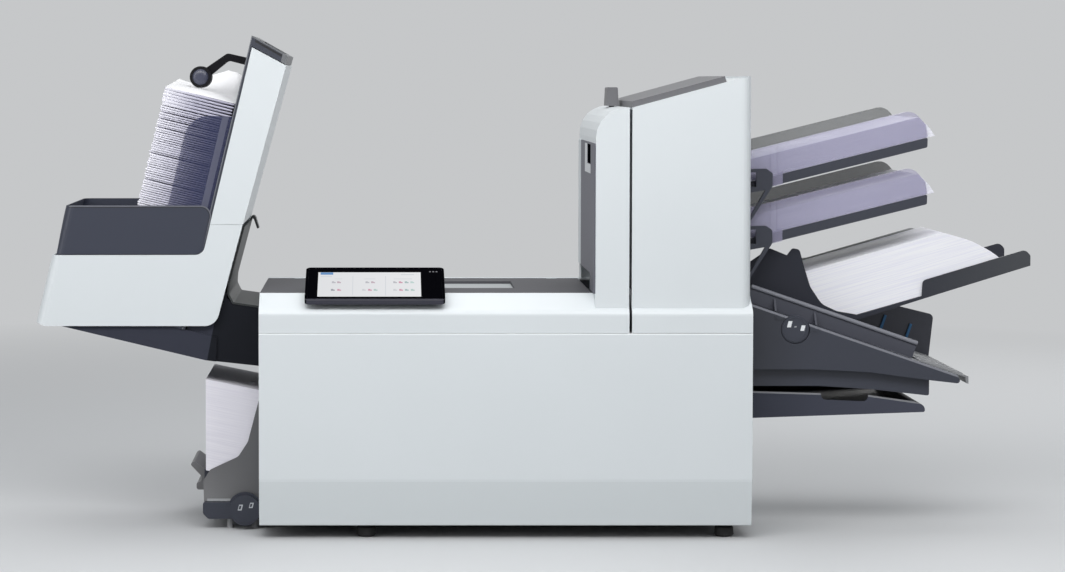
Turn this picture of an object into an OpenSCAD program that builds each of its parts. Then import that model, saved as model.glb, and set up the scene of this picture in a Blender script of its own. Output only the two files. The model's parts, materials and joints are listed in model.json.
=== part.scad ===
// Desktop folder inserter: base cabinet, feed tower with document trays, envelope
// hopper, vertical envelope stacker and insert feeder. All sizes are in millimetres.
// X runs to the right, Y to the back and Z up from the table. Places along X are
// measured from the middle of the base, places along Y from the paper centreline.

/* [Base cabinet] */
// Width of the base cabinet
base_w = 742; // [720:1:760]
// Front of the cabinet, in front of the paper centreline
front_y = 210; // [206:1:216]
// Back of the cabinet, behind the paper centreline
back_y = 192; // [188:1:205]
// Height of the deck above the table
deck_z = 370; // [366:1:376]
// Height of the seam between the door and the band above it
seam_z = 312.5; // [308:0.5:316]
// Height of the rubber feet
foot_h = 22; // [21:0.5:24]
// Radius of a rubber foot
foot_r = 15; // [12:0.5:18]
// Thickness of the white covers
skin = 3; // [2.5:0.1:3.5]
// Depth of the slope between the band and the deck
slope_run = 39; // [36:1:42]
// Height of the slope between the band and the deck
slope_rise = 19; // [17:0.5:21]
// Width of the opening in the end walls
mouth_w = 236; // [230:1:240]

/* [Door] */
// Height at which the door bends inward
door_bend_z = 86; // [80:1:100]
// How far the foot of the door leans in
door_tuck = 6; // [4:0.5:7]
// Radius of the door hinge pins
door_pin_r = 2.5; // [2:0.1:3]

/* [Deck lid and screen] */
// Thickness of the deck lid
lid_t = 5.7; // [5.2:0.1:6]
// Length of the shallow tray in the lid
well_l = 280; // [240:1:300]
// Width of the shallow tray in the lid
well_w = 130; // [110:1:140]
// Depth of the shallow tray in the lid
well_d = 4; // [2:0.5:4.5]
// Width of the touch screen
screen_w = 211; // [190:1:225]
// Depth of the touch screen along its slope
screen_l = 105; // [95:1:112]
// Thickness of the touch screen body
screen_t = 9; // [7:0.5:10]
// Slope of the touch screen
screen_tilt = 22.7; // [21:0.1:26]

/* [Feed tower] */
// Left face of the tower
tower_x = 135; // [125:1:145]
// Middle of the slit between the fixed and the sliding half
slit_x = 187.5; // [180:0.5:200]
// Width of that slit
slit_w = 4; // [3:0.5:8]
// Height of the tower beside the slit
tower_z = 651; // [640:1:660]
// Height of the flat top at the right
tower_top_z = 698; // [694:1:704]
// Radius of the round shoulder at the left
shoulder_r = 46; // [30:1:48]
// Radius of the tower's upright corners
tower_r = 16; // [10:1:20]
// How far the tower is set back from the cabinet front
tower_set = 7; // [6:0.5:9]
// Thickness of the sloping top panel
top_panel_t = 9; // [6:0.5:11]

/* [Document trays] */
// Slope of the document trays
tray_tilt = 14; // [12:0.5:15]
// Height of the upper tray floor at the tower
tray_z = 535; // [530:1:540]
// Distance from one tray down to the next
tray_pitch = 87.5; // [84:0.5:92]
// Length of a side guide
guide_l = 280; // [260:1:290]
// Height of a side guide
guide_h = 45; // [38:1:50]
// Thickness of a side guide
guide_t = 2.2; // [1.8:0.1:2.6]
// Width of the sheets in the trays
sheet_w = 210; // [205:1:210]
// Length of the sheets in the trays
sheet_l = 297; // [280:1:300]
// Height of the sheets in a tray
pile_h = 32; // [10:1:34]

/* [High capacity feeder] */
// Slope of the feeder floor
hcf_tilt = 16.1; // [15:0.1:17]
// Width of the sheets in the feeder
hcf_w = 156; // [140:1:160]
// Height of the sheets, measured straight up
hcf_pile = 87; // [40:1:90]
// How far the end plates reach beyond the cabinet
hcf_reach = 448; // [430:1:460]
// Height of the end plates across their slope
hcf_end_h = 26; // [20:1:30]

/* [Envelope hopper] */
// Slope of the hopper, falling to the right
hop_tilt = 19; // [17:0.5:20]
// Height of the hopper floor at the cabinet
hop_z = 353.8; // [351:0.1:356]
// Length of the hopper floor along its slope
hop_l = 336; // [320:1:345]
// Half the width of the hopper
hop_half = 165; // [150:1:170]
// Half the width of the envelope channel
channel_half = 118.5; // [112:0.5:124]
// Height of the near fence
fence_h = 24; // [18:1:30]
// Height of the far guide
far_h = 70; // [50:1:75]
// Radius of the separation dial
dial_r = 21; // [16:0.5:22]

/* [Stacker] */
// Lean of the stacker column
lean = 13.5; // [12:0.5:15]
// How far the pile's left corner stands out from the cabinet
pile_out = 229; // [223:1:235]
// Height of that corner
pile_z = 340; // [336:1:344]
// Width of an envelope
env_w = 110; // [100:1:110]
// Length of an envelope
env_l = 220; // [200:1:222]
// Height of the envelope pile at its lowest corner
env_pile = 351; // [200:1:352]
// Half the width of the white stacker shell
shell_half = 124; // [122:0.5:128]
// Height of the stacker column along its lean
column_h = 459; // [440:1:470]
// Radius of the roller on the arm
roller_r = 17; // [14:0.5:18]

/* [Insert feeder] */
// Width of the inserts
insert_w = 210; // [200:1:212]
// Length of the inserts
insert_l = 99; // [90:1:105]
// Height of the insert pile
insert_pile = 138; // [60:1:140]
// Radius of the insert dial
knob_r = 23.5; // [18:0.5:24]

/* [Mechanism] */
// Distance of each side frame from the paper centreline
frame_y = 124; // [122.5:0.5:126]
// Thickness of the side frames
frame_t = 3; // [2:0.5:3]
// Radius of the fold rollers
fold_r = 14; // [12:0.5:16]
// Radius of their journals
journal_r = 5; // [4:0.5:6]
// Running clearance of journals and pins
run_gap = 0.05; // [0.03:0.01:0.08]

/* [Hidden] */

$fn = 48;
corner_step = 15;
// Gap between pieces that move against each other, and between loose neighbours
gap = 0.3;
half_w = base_w / 2;
slit_l = slit_x - slit_w / 2;
slit_r = slit_x + slit_w / 2;
deck_front = front_y - slope_run;
bend_z = deck_z - slope_rise - 6;
lid_back = 118;
back_round = 60;
tower_front = front_y - tower_set;
tower_back = 128;
tower_right_x = half_w - 1.7;
hcf_end_x = half_w + hcf_reach;

// A unit vector
function unit(v) = v / norm(v);
// The points of corner b, rounded to the radius that it carries as a third number
function corner(a, b, c) =
  let (r = len(b) > 2 ? b[2] : 0, p = [b[0], b[1]],
       u = unit([a[0] - b[0], a[1] - b[1]]), v = unit([c[0] - b[0], c[1] - b[1]]),
       half = acos(max(-1, min(1, u * v))) / 2)
  r == 0 || half > 89 ? [p] :
  let (centre = p + unit(u + v) * r / sin(half), s = p + u * r / tan(half) - centre,
       e = p + v * r / tan(half) - centre, begin = atan2(s[1], s[0]),
       turn = ((atan2(e[1], e[0]) - begin + 540) % 360) - 180,
       steps = max(2, ceil(abs(turn) / corner_step)))
  [for (i = [0:steps])
    centre + r * [cos(begin + turn * i / steps), sin(begin + turn * i / steps)]];
// A closed outline with the corners that carry a radius rounded
function outline(pts) = let (n = len(pts))
  [for (i = [0:n - 1]) each corner(pts[(i + n - 1) % n], pts[i], pts[(i + 1) % n])];

// The whole part, shifted so that the middle of its plan is the origin
span_left = half_w + 348.5;
span_right = half_w + hcf_reach;
span_front = front_y + 4;
span_back = back_y + 2;
module home() translate([(span_left - span_right) / 2, (span_front - span_back) / 2, 0])
  children();
// A shape drawn in X and Z, drawn out along Y
module along_y(y0, y1) translate([0, y1, 0]) rotate([90, 0, 0]) linear_extrude(y1 - y0)
  children();
// A shape drawn in Y and Z, drawn out along X
module along_x(x0, x1) translate([x0, 0, 0]) rotate([90, 0, 90]) linear_extrude(x1 - x0)
  children();
module bar_y(x, z, r, y0, y1) translate([x, y1, z]) rotate([90, 0, 0])
  cylinder(h = y1 - y0, r = r);
module bar_x(y, z, r, x0, x1) translate([x0, y, z]) rotate([0, 90, 0])
  cylinder(h = x1 - x0, r = r);
module block(lo, hi) translate(lo) cube(hi - lo);
// The same piece on both sides of the paper centreline
module both_sides() for (side = [0, 1]) mirror([0, side, 0]) children();

// The base pan is a folded sheet that the feet, the frames and the door hang on
pan_z = foot_h;
pan_t = 2;
pan_front = 186;
door_axis_y = -195;
door_axis_z = 28;
door_hinge_x = 295;
module base_pan() color("#55595e") home() {
  difference() {
    block([-half_w + skin, -pan_front, pan_z], [half_w - skin, back_y - skin, pan_z + 16]);
    block([-half_w + skin + pan_t, -pan_front + pan_t, pan_z + pan_t],
          [half_w - skin - pan_t, back_y - skin - pan_t, pan_z + 17]);
  }
  for (s = [-1, 1]) difference() {
    union() {
      block([s * door_hinge_x - 6, door_axis_y, door_axis_z - 4.5],
            [s * door_hinge_x + 6, -pan_front, door_axis_z + 4.5]);
      bar_x(door_axis_y, door_axis_z, 4.5, s * door_hinge_x - 6, s * door_hinge_x + 6);
    }
    bar_x(door_axis_y, door_axis_z, door_pin_r + run_gap, s * door_hinge_x - 7,
          s * door_hinge_x + 7);
  }
}

foot_x = [-half_w + 161, half_w - 37];
foot_y = [-172, 150];
module feet() color("#2b2c2f") home() for (x = foot_x, y = foot_y) translate([x, y, 0])
  rotate_extrude() polygon([[0, 0], [foot_r - 3, 0], [foot_r, 3], [foot_r - 1, foot_h - 8],
    [foot_r - 4, foot_h - 6], [foot_r - 4, foot_h], [0, foot_h]]);

// The door is one bent panel with short side returns, on two pins at its foot
door_z0 = foot_h - 1;
// Below this height the door's returns and the side walls are cut back for its swing
skirt_z = 40;
side_y = -front_y + 18.3;
module front_door() color("#dfe5e8") home() {
  y0 = -front_y;
  difference() {
    along_x(-half_w, half_w) polygon(outline([[y0, seam_z - gap, 2], [y0, door_bend_z + 6, 30],
      [y0 + door_tuck, door_z0, 1.5], [y0 + 18, door_z0], [y0 + 18, seam_z - gap]]));
    along_x(-half_w + skin, half_w - skin) polygon([[y0 + skin, seam_z - gap - skin],
      [y0 + skin, door_bend_z + 6], [y0 + door_tuck + skin, door_z0 - 1],
      [y0 + 19, door_z0 - 1], [y0 + 19, seam_z - gap - skin]]);
    for (s = [-1, 1]) translate([s * half_w, 0, 0])
      block([-skin - gap, y0 + 14, 0], [skin + gap, y0 + 20, skirt_z]);
  }
  for (s = [-1, 1]) {
    for (t = [-1, 1])
      along_x(s * door_hinge_x + t * 9.3 - 3, s * door_hinge_x + t * 9.3 + 3)
        polygon(outline([[y0 + 6.5, door_axis_z + 14], [y0 + 7, door_axis_z - 6],
          [door_axis_y + 4, door_axis_z - 6, 4], [door_axis_y + 4, door_axis_z + 6, 4]]));
    bar_x(door_axis_y, door_axis_z, door_pin_r, s * door_hinge_x - 7,
          s * door_hinge_x + 7);
  }
}

// The outline of the upper cabinet seen from the side, drawn in by a wall's thickness
function cabinet_side(t, z0) = outline([[-front_y + t, z0], [-front_y + t, bend_z, 12 - t],
  [-deck_front + t * 0.3, deck_z - t, 1], [lid_back + 14, deck_z - t],
  [back_y - t, deck_z - t, back_round - t], [back_y - t, z0]]);

// The white cabinet: two end walls and a back wall that rounds over to the deck
module base_shell() color("#dfe5e8") home() {
  z0 = foot_h - 2;
  lid_rest = deck_z - lid_t - gap;
  difference() {
    union() {
      difference() {
        along_x(-half_w, slit_l) polygon(cabinet_side(0, z0));
        along_x(-half_w + skin, slit_l + 1) polygon(cabinet_side(skin, z0 - 1));
      }
      difference() {
        block([slit_l - 0.01, -front_y, z0], [half_w, back_y, seam_z]);
        block([slit_l - 1, -front_y - 1, z0 - 1], [half_w - skin, back_y - skin, seam_z + 1]);
      }
    }
    block([-half_w - 1, -front_y - 1, z0 - 1], [half_w + 1, side_y, deck_z + 1]);
    block([-half_w - 1, -front_y - 1, z0 - 1], [half_w + 1, door_axis_y + 7.5, skirt_z]);
    block([-half_w + skin, -front_y - 1, z0 - 1], [half_w - skin, -deck_front + 1, deck_z + 1]);
    block([-half_w - 1, -front_y - 1, lid_rest], [tower_x, lid_back + gap, deck_z + 1]);
    block([tower_x - 1, -front_y - 1, lid_rest], [half_w + 1, tower_back - 6, deck_z + 1]);
    block([-half_w - 1, -mouth_w / 2, 60], [-half_w + skin + 1, mouth_w / 2, 236]);
    block([-half_w - 1, -104, 256], [-half_w + skin + 1, 104, 334]);
    block([half_w - skin - 1, -mouth_w / 2, 182], [half_w + 1, mouth_w / 2, 214]);
    block([half_w - skin - 1, -frame_y - 12, rail_z - 8], [half_w + 1, frame_y + 12, seam_z + 1]);
    block([inlet_x[0] - 0.3, back_y - skin - 1, inlet_z[0] - 0.3],
          [inlet_x[1] + 0.3, back_y + 1, inlet_z[1] + 0.3]);
  }
  for (x = lid_ear_x) difference() {
    union() {
      bar_x(lid_axis_y, lid_axis_z, lid_ear_r, x - 8, x + 8);
      block([x - 8, lid_axis_y, lid_axis_z - lid_ear_r],
            [x + 8, lid_back + 6, lid_axis_z + 1.5]);
      block([x - 8, lid_back + 1, lid_axis_z], [x + 8, lid_back + 6, deck_z - skin + 0.01]);
    }
    bar_x(lid_axis_y, lid_axis_z, lid_pin_r + run_gap, x - 9, x + 9);
  }
}

// The front band to the left of the slit, with its closed left end
module band_left() color("#e6ecef") home() {
  ring = cabinet_side(0, seam_z);
  inner = cabinet_side(skin, seam_z - 1);
  difference() {
    along_x(-half_w, slit_l) polygon(ring);
    along_x(-half_w + skin, slit_l + 1) polygon(inner);
    block([-half_w - 1, -deck_front, 0], [half_w, back_y + 1, deck_z + 1]);
    block([-half_w - 1, side_y - gap, 0], [-half_w + skin + 0.1, 0, deck_z - lid_t]);
  }
}

// The deck lid turns on pins at its rear edge and carries the touch screen
lid_axis_y = 113;
lid_axis_z = deck_z - 4.2;
lid_pin_r = 1.8;
lid_ear_r = 3.6;
lid_ear_x = [-320, 90];
lid_right = tower_x - 2.6;
well_right = 20;
module deck_lid() color("#626268") home() {
  difference() {
    union() {
      along_x(-half_w, lid_right) polygon(outline([[-deck_front + gap, deck_z - lid_t],
        [-deck_front + gap, deck_z, 1], [lid_axis_y, deck_z], [lid_axis_y, deck_z - lid_t]]));
      bar_x(lid_axis_y, lid_axis_z, deck_z - lid_axis_z, -half_w + skin + gap, lid_right);
    }
    block([well_right - well_l, -80, deck_z - well_d], [well_right, well_w - 80, deck_z + 1]);
    for (x = lid_ear_x) block([x - 8 - gap, lid_axis_y - 5, deck_z - 12],
                              [x + 8 + gap, lid_back + 1, deck_z + 1]);
  }
  for (x = lid_ear_x) bar_x(lid_axis_y, lid_axis_z, lid_pin_r, x - 9, x + 9);
  for (y = [-150, -100, 60]) block([-340, y, deck_z - lid_t - 8],
                                   [lid_right - 16, y + 3, deck_z - lid_t + 0.01]);
}

// The screen lies in its own slope: s runs up the glass, h out of it
screen_x = -302;
screen_y = -front_y - 4;
screen_z = 355.6;
module screen_slope() translate([screen_x, screen_y, screen_z]) rotate([screen_tilt, 0, 0])
  children();
module screen_body() color("#17181b") home() {
  screen_slope() difference() {
    along_z_round([0, 0, 0.5], [screen_w, screen_l, screen_t], 7);
    translate([4, 6, screen_t - 1]) cube([screen_w - 8, screen_l - 10, 2]);
  }
  foot_lo = -deck_front + 6;
  foot_top = screen_z + (foot_lo - screen_y) * tan(screen_tilt);
  along_x(screen_x + 50, screen_x + screen_w - 50) polygon([[foot_lo + 12, deck_z],
    [foot_lo + 12, foot_top + 12 * tan(screen_tilt) + 1.2],
    [foot_lo + 48, foot_top + 48 * tan(screen_tilt) + 1.2], [foot_lo + 38, deck_z]]);
}
module along_z_round(lo, size, r) translate(lo) linear_extrude(size[2])
  polygon(outline([[0, 0, r], [size[0], 0, r], [size[0], size[1], r], [0, size[1], r]]));
module screen_glass() color("#050506") home() screen_slope()
  translate([4.2, 6.2, screen_t - 1]) linear_extrude(1.6) polygon(outline([[0, 0, 4],
    [screen_w - 8.4, 0, 4], [screen_w - 8.4, screen_l - 10.4, 4], [0, screen_l - 10.4, 4]]));

// The fixed left half of the feed tower
module tower_body(left, right, top_points, inset) intersection() {
  along_y(-tower_front + inset, tower_back - inset) polygon(outline(top_points));
  linear_extrude(800) polygon(outline([[left, -tower_front + inset],
    [right, -tower_front + inset, right > half_w - 20 ? tower_r - inset : 0],
    [right, tower_back - inset, tower_r - inset], [left, tower_back - inset, tower_r - inset]]));
}
// What lies under the tower: the slope of the band and the deck
band_k = (deck_z - bend_z) / (front_y - deck_front);
module under_tower(x0, x1) along_x(x0, x1) polygon([[-front_y - 5, 0],
  [-front_y - 5, bend_z - 5 * band_k + gap], [-deck_front, deck_z + gap],
  [back_y, deck_z + gap], [back_y, 0]]);
module tower_left() color("#e3e9ec") home() {
  lo = deck_z - slope_rise - 4;
  difference() {
    tower_body(tower_x, slit_l, [[tower_x, lo], [tower_x, tower_z, shoulder_r],
      [slit_l, tower_z], [slit_l, lo]], 0);
    tower_body(tower_x + skin, slit_l + 9, [[tower_x + skin, lo - 1],
      [tower_x + skin, tower_z - skin, shoulder_r - skin], [slit_l + 9, tower_z - skin],
      [slit_l + 9, lo - 1]], skin);
    under_tower(tower_x - 1, slit_l + 10);
    block([handle_mid - stem_half - gap, -22 - gap, tower_z - skin - 5],
          [handle_mid + stem_half + gap, -8 + gap, tower_z + 1]);
    block([tower_x - 1, -118, deck_z - 1], [tower_x + skin + 1, 108, deck_z + 26]);
  }
}
liner_t = 1.8;
window_z = [564, 594];
window_y = [-126, -66];
liner_z0 = deck_z + 26.6;
module tower_liner() color("#6c6d76") home() difference() {
  union() {
    along_x(tower_x - liner_t, tower_x) polygon(outline([[-tower_front + 4, liner_z0],
      [108, liner_z0], [108, 597, 3], [-tower_front + 4, 597, 3]]));
    block([tower_x - liner_t, -tower_front + 4, deck_z + 1], [tower_x, -118.4, liner_z0 + 0.01]);
  }
  block([tower_x - liner_t - 1, window_y[0], window_z[0]],
        [tower_x + 1, window_y[1], window_z[1]]);
}
module sight_window() color("#0a0b0d") home() along_x(tower_x - liner_t + 0.6, tower_x)
  polygon(outline([[window_y[0] + 0.2, window_z[0] + 0.2, 1], [window_y[1] - 0.2,
    window_z[0] + 0.2, 1], [window_y[1] - 0.2, window_z[1] - 0.2, 1],
    [window_y[0] + 0.2, window_z[1] - 0.2, 1]]));

// The handle on the tower is lifted to let the sliding half go; a wide foot stops it
handle_mid = 174.7;
handle_w = 19.5;
stem_half = 3.5;
handle_lift = 8;
module release_handle() color("#77777c") home() {
  block([handle_mid - stem_half, -22, tower_z - skin - handle_lift - 4],
        [handle_mid + stem_half, -8, tower_z + 1.5]);
  block([handle_mid - stem_half - 3, -22, tower_z - skin - handle_lift - 6.5],
        [handle_mid + stem_half + 3, -8, tower_z - skin - handle_lift - 2.4]);
  along_y(-36, 6) polygon(outline([[handle_mid - handle_w / 2, tower_z + 1],
    [handle_mid + handle_w / 2, tower_z + 1],
    [handle_mid + handle_w / 2 - 1.5, tower_z + 30, 2],
    [handle_mid - handle_w / 2 + 1.5, tower_z + 30, 2]]));
}

// The sliding right half of the tower
tower_slope = 15.2;
top_bend_x = slit_r + (tower_top_z - tower_z - 4) / tan(tower_slope);
function right_top(inset) = let (lo = deck_z - slope_rise - 4, k = inset / cos(tower_slope))
  [[slit_r - inset * 3, lo - inset], [slit_r - inset * 3, tower_z - k - inset],
   [slit_r, tower_z - k], [top_bend_x, tower_top_z - 4 - k],
   [top_bend_x + 5, tower_top_z - inset * 1.2, 2],
   [tower_right_x - inset, tower_top_z - inset * 1.2],
   [tower_right_x - inset, lo - inset]];
module tower_right() color("#e3e9ec") home() difference() {
  tower_body(slit_r, tower_right_x, right_top(0), 0);
  tower_body(slit_r - 9, tower_right_x - skin, right_top(skin), skin);
  under_tower(slit_r - 10, half_w + 1);
  block([tower_right_x - skin - 1, -mouth_w / 2, deck_z - 30],
        [tower_right_x + 1, mouth_w / 2, 622]);
  block([tower_right_x - 33, -tower_front - 1, tower_top_z - 2.5],
        [tower_right_x - 7, tower_back + 1, tower_top_z + 1]);
}
module top_panel() color("#808086") home() intersection() {
  translate([slit_r, 0, tower_z + 0.03]) rotate([0, -tower_slope, 0])
    along_z_round([-3, -tower_front + 5, 0], [150, tower_front + tower_back - 12, top_panel_t], 4);
  block([slit_r, -tower_front, tower_z - 5], [top_bend_x - 6, tower_back, tower_top_z + 20]);
}

// The part of the cabinet that slides with the tower
module carriage_housing() color("#dfe5e8") home() difference() {
  along_x(slit_r, half_w) polygon(cabinet_side(0, seam_z + gap));
  along_x(slit_r - 1, half_w - skin) polygon(cabinet_side(skin, seam_z - 1));
  block([half_w - skin - 1, -mouth_w / 2, seam_z - 1], [half_w + 1, mouth_w / 2, deck_z - 20]);
  block([slit_r + 8, -frame_y, deck_z - skin - 1], [half_w - 8, frame_y, deck_z + 1]);
}

// The steel frame that carries the feed unit, with shoes that run on the side frames
rail_z = 302;
bar_x_at = half_w - 41;
module feeder_frame() color("#8d9196") home() {
  both_sides() {
    along_y(-frame_y + 1.5, -frame_y + 4) polygon(outline([[slit_r + 12, rail_z + 8],
      [half_w - 12, rail_z + 8], [half_w - 12, 612, 14], [slit_r + 26, 612, 20]]));
    for (x = [slit_r + 14, half_w - 50]) difference() {
      block([x, -frame_y - frame_t - 4, rail_z - 4], [x + 34, -frame_y + 4, rail_z + 8.01]);
      block([x - 1, -frame_y - frame_t - gap, rail_z - 5], [x + 35, -frame_y + gap, rail_z + gap]);
    }
  }
  for (z = [wall_z(bar_x_at) - hcf_t - 5 / cos(hop_tilt) - 0.05, 470, 596])
    bar_y(bar_x_at, z, 5, -frame_y + 3, frame_y - 3);
}

// The dark brackets at the right of the tower that hold both document trays
bracket_y = [sheet_w / 2 + 16, sheet_w / 2 + 22];
tray_half = sheet_w / 2 + 3;
module tray_bracket() color("#34363c") home() both_sides() for (drop = [0, tray_pitch])
  difference() {
    along_y(-bracket_y[1], -bracket_y[0]) polygon(outline([[tower_right_x, 462 - drop],
      [tower_right_x, 556 - drop], [half_w + 31, 557 - drop, 5], [half_w + 41, 550 - drop, 4],
      [half_w + 41, 530 - drop, 3]]));
    along_y(-bracket_y[1] - 1, -bracket_y[0] + 1) polygon([[half_w + 7, 484 - drop],
      [half_w + 7, 520 - drop], [half_w + 30, 524 - drop]]);
    along_y(-bracket_y[1] - 1, -bracket_y[0] + 1) polygon([[half_w + 2, 529 - drop],
      [half_w + 2, 551 - drop], [half_w + 16, 551 - drop], [half_w + 16, 529 - drop]]);
  }

// A document tray lies in its own slope: a runs up the floor, h out of it
module tray_slope(drop) translate([half_w, 0, tray_z + 0.2 - drop])
  rotate([0, -tray_tilt, 0]) children();
module tray(drop) tray_slope(drop) difference() {
  union() {
    along_y(-tray_half, tray_half) polygon(outline([[10, -16], [286, -16, 3], [290, -1.5, 2],
      [10, -1.5]]));
    along_y(-bracket_y[0], bracket_y[0]) polygon([[16, -15.5], [38, -15.5], [38, -3], [16, -3]]);
  }
  for (x = [40 : 50 : 240]) along_y(-tray_half + 18, tray_half - 18)
    polygon([[x, -17], [x + 44, -17], [x + 44, -4.5], [x, -4.5]]);
}
module sheets(drop) tray_slope(drop) along_y(-sheet_w / 2, sheet_w / 2)
  polygon(outline([[4, -1.5], [sheet_l + 4.5, -1.5], [sheet_l - 1, 14, 30],
    [sheet_l - 13, pile_h], [-0.6 + pile_h * 0.25, pile_h]]));
// The guide's outline, with a bulging round end; an upright rib ends in a foot
function tray_line(x, h, drop) = [x, tray_z + 0.2 - drop + (x - half_w) * tan(tray_tilt)
                                     + h / cos(tray_tilt)];
module guide(drop, tall) {
  y0 = -sheet_w / 2 - 0.6 - guide_t;
  tray_slope(drop) along_y(y0, y0 + guide_t)
    polygon(outline([[12, -0.9], [guide_l + 10, -0.9], [guide_l + 12, tall * 0.4, 8],
      [guide_l - 2, tall, 22], [12, tall, 2]]));
  along_y(y0 - 2.8, y0 + 0.01)
    polygon([tray_line(half_w + 41, 0.5, drop), tray_line(half_w + 50, 0.5, drop),
    tray_line(half_w + 50, tall, drop), tray_line(half_w + 41, tall, drop)]);
  along_y(y0 - 2.8, y0 - 0.5)
    polygon([tray_line(half_w + 41, -17, drop), tray_line(half_w + 59, -17, drop),
    tray_line(half_w + 59, 2, drop), tray_line(half_w + 41, 2, drop)]);
}
module tray_upper() color("#4a4c54") home() tray(0);
module tray_lower() color("#4a4c54") home() tray(tray_pitch);
module sheets_upper() color("#f3f3f8") home() sheets(0);
module sheets_lower() color("#f3f3f8") home() sheets(tray_pitch);
module guide_upper_near() color("#a5a2b8") home() guide(0, guide_h);
module guide_upper_far() color("#a5a2b8") home() mirror([0, 1, 0]) guide(0, guide_h + 5);
module guide_lower_near() color("#a5a2b8") home() guide(tray_pitch, guide_h);
module guide_lower_far() color("#a5a2b8") home() mirror([0, 1, 0])
  guide(tray_pitch, guide_h + 5);

// The high capacity feeder: a wall over the hopper and a floor that rises to the right
hcf_floor_x = half_w + 179.6;
hcf_floor_z = 328.4;
hcf_k = tan(hcf_tilt);
hop_k = tan(hop_tilt);
channel_h = 25;
function floor_z(x) = hcf_floor_z + (x - hcf_floor_x) * hcf_k;
function wall_z(x) = hop_z + channel_h - (x - half_w) * hop_k;
vee_x = (wall_z(0) - floor_z(0)) / (hcf_k + hop_k);
tray_floor_end = half_w + 281;
hcf_t = 5;
module hcf_tray() color("#3b3d43") home() along_y(-hcf_w / 2 - 2.2, hcf_w / 2 + 2.2)
  polygon([[bar_x_at - 9, wall_z(bar_x_at - 9)], [vee_x, floor_z(vee_x)],
    [tray_floor_end, floor_z(tray_floor_end)],
    [tray_floor_end, floor_z(tray_floor_end) - hcf_t],
    [vee_x, floor_z(vee_x) - hcf_t], [bar_x_at - 9, wall_z(bar_x_at - 9) - hcf_t]]);
module hcf_sheets() color("#f1f1f8") home() along_y(-hcf_w / 2, hcf_w / 2)
  polygon(outline([[vee_x + 1, floor_z(vee_x + 1) + 0.03],
    [half_w + 425, floor_z(half_w + 425) + 0.03],
    [half_w + 388, floor_z(half_w + 388) + 38, 90],
    [half_w + 357, floor_z(half_w + 357) + hcf_pile - 23, 90],
    [half_w + 313, floor_z(half_w + 313) + hcf_pile + 2, 8],
    [half_w + 95, floor_z(half_w + 95) + hcf_pile + 3],
    [half_w + 103, 372, 20], [half_w + 118, 348, 20], [half_w + 139, 336, 15]]));
function hcf_end(x, h) = [x, floor_z(x) + h];
module hcf_guide_near() color("#42444c") home() along_y(-hcf_w / 2 - 5, -hcf_w / 2 - 2.5)
  polygon(outline([[half_w + 2, wall_z(half_w) - hcf_t], [half_w + 2, 403], [half_w + 44, 432, 4],
    [half_w + 70.6, 421], [half_w + 79, 432, 5], [half_w + 90, 430, 6], [half_w + 98, 401],
    [half_w + 107, 372, 20], [half_w + 125, 345, 25],
    [half_w + 149, 334, 20], [vee_x + 20, floor_z(vee_x + 20) - 0.6, 10],
    [tray_floor_end - 1, floor_z(tray_floor_end - 1) - 0.6],
    concat(hcf_end(tray_floor_end + 0.4, hcf_end_h - 2), 8),
    concat(hcf_end(hcf_end_x - 8, hcf_end_h), 9), concat(hcf_end(hcf_end_x, 15), 6),
    hcf_end(hcf_end_x, -1), hcf_end(half_w + 308.5, -4), hcf_end(vee_x + 6, -8),
    [vee_x - 10, wall_z(vee_x - 10) - hcf_t - 1]]));
module hcf_guide_far() color("#42444c") home() along_y(hcf_w / 2 + 2.5, hcf_w / 2 + 5)
  polygon(outline([[half_w + 2, wall_z(half_w) - hcf_t], [half_w + 2, 396],
    [half_w + 59, 400, 30], concat(hcf_end(half_w + 129, 92), 10),
    concat(hcf_end(half_w + 305, 92), 12),
    hcf_end(half_w + 319, 40), concat(hcf_end(half_w + 329, hcf_end_h), 10),
    concat(hcf_end(hcf_end_x - 8, hcf_end_h), 9), concat(hcf_end(hcf_end_x, 15), 6),
    hcf_end(hcf_end_x, -1), hcf_end(half_w + 308.5, -4), hcf_end(vee_x + 6, -8),
    [vee_x - 10, wall_z(vee_x - 10) - hcf_t - 1]]));

// The hopper lies in its own slope: a runs down the floor, h out of it
module hop_slope() translate([half_w + gap, 0, hop_z]) rotate([0, hop_tilt, 0]) children();
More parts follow.
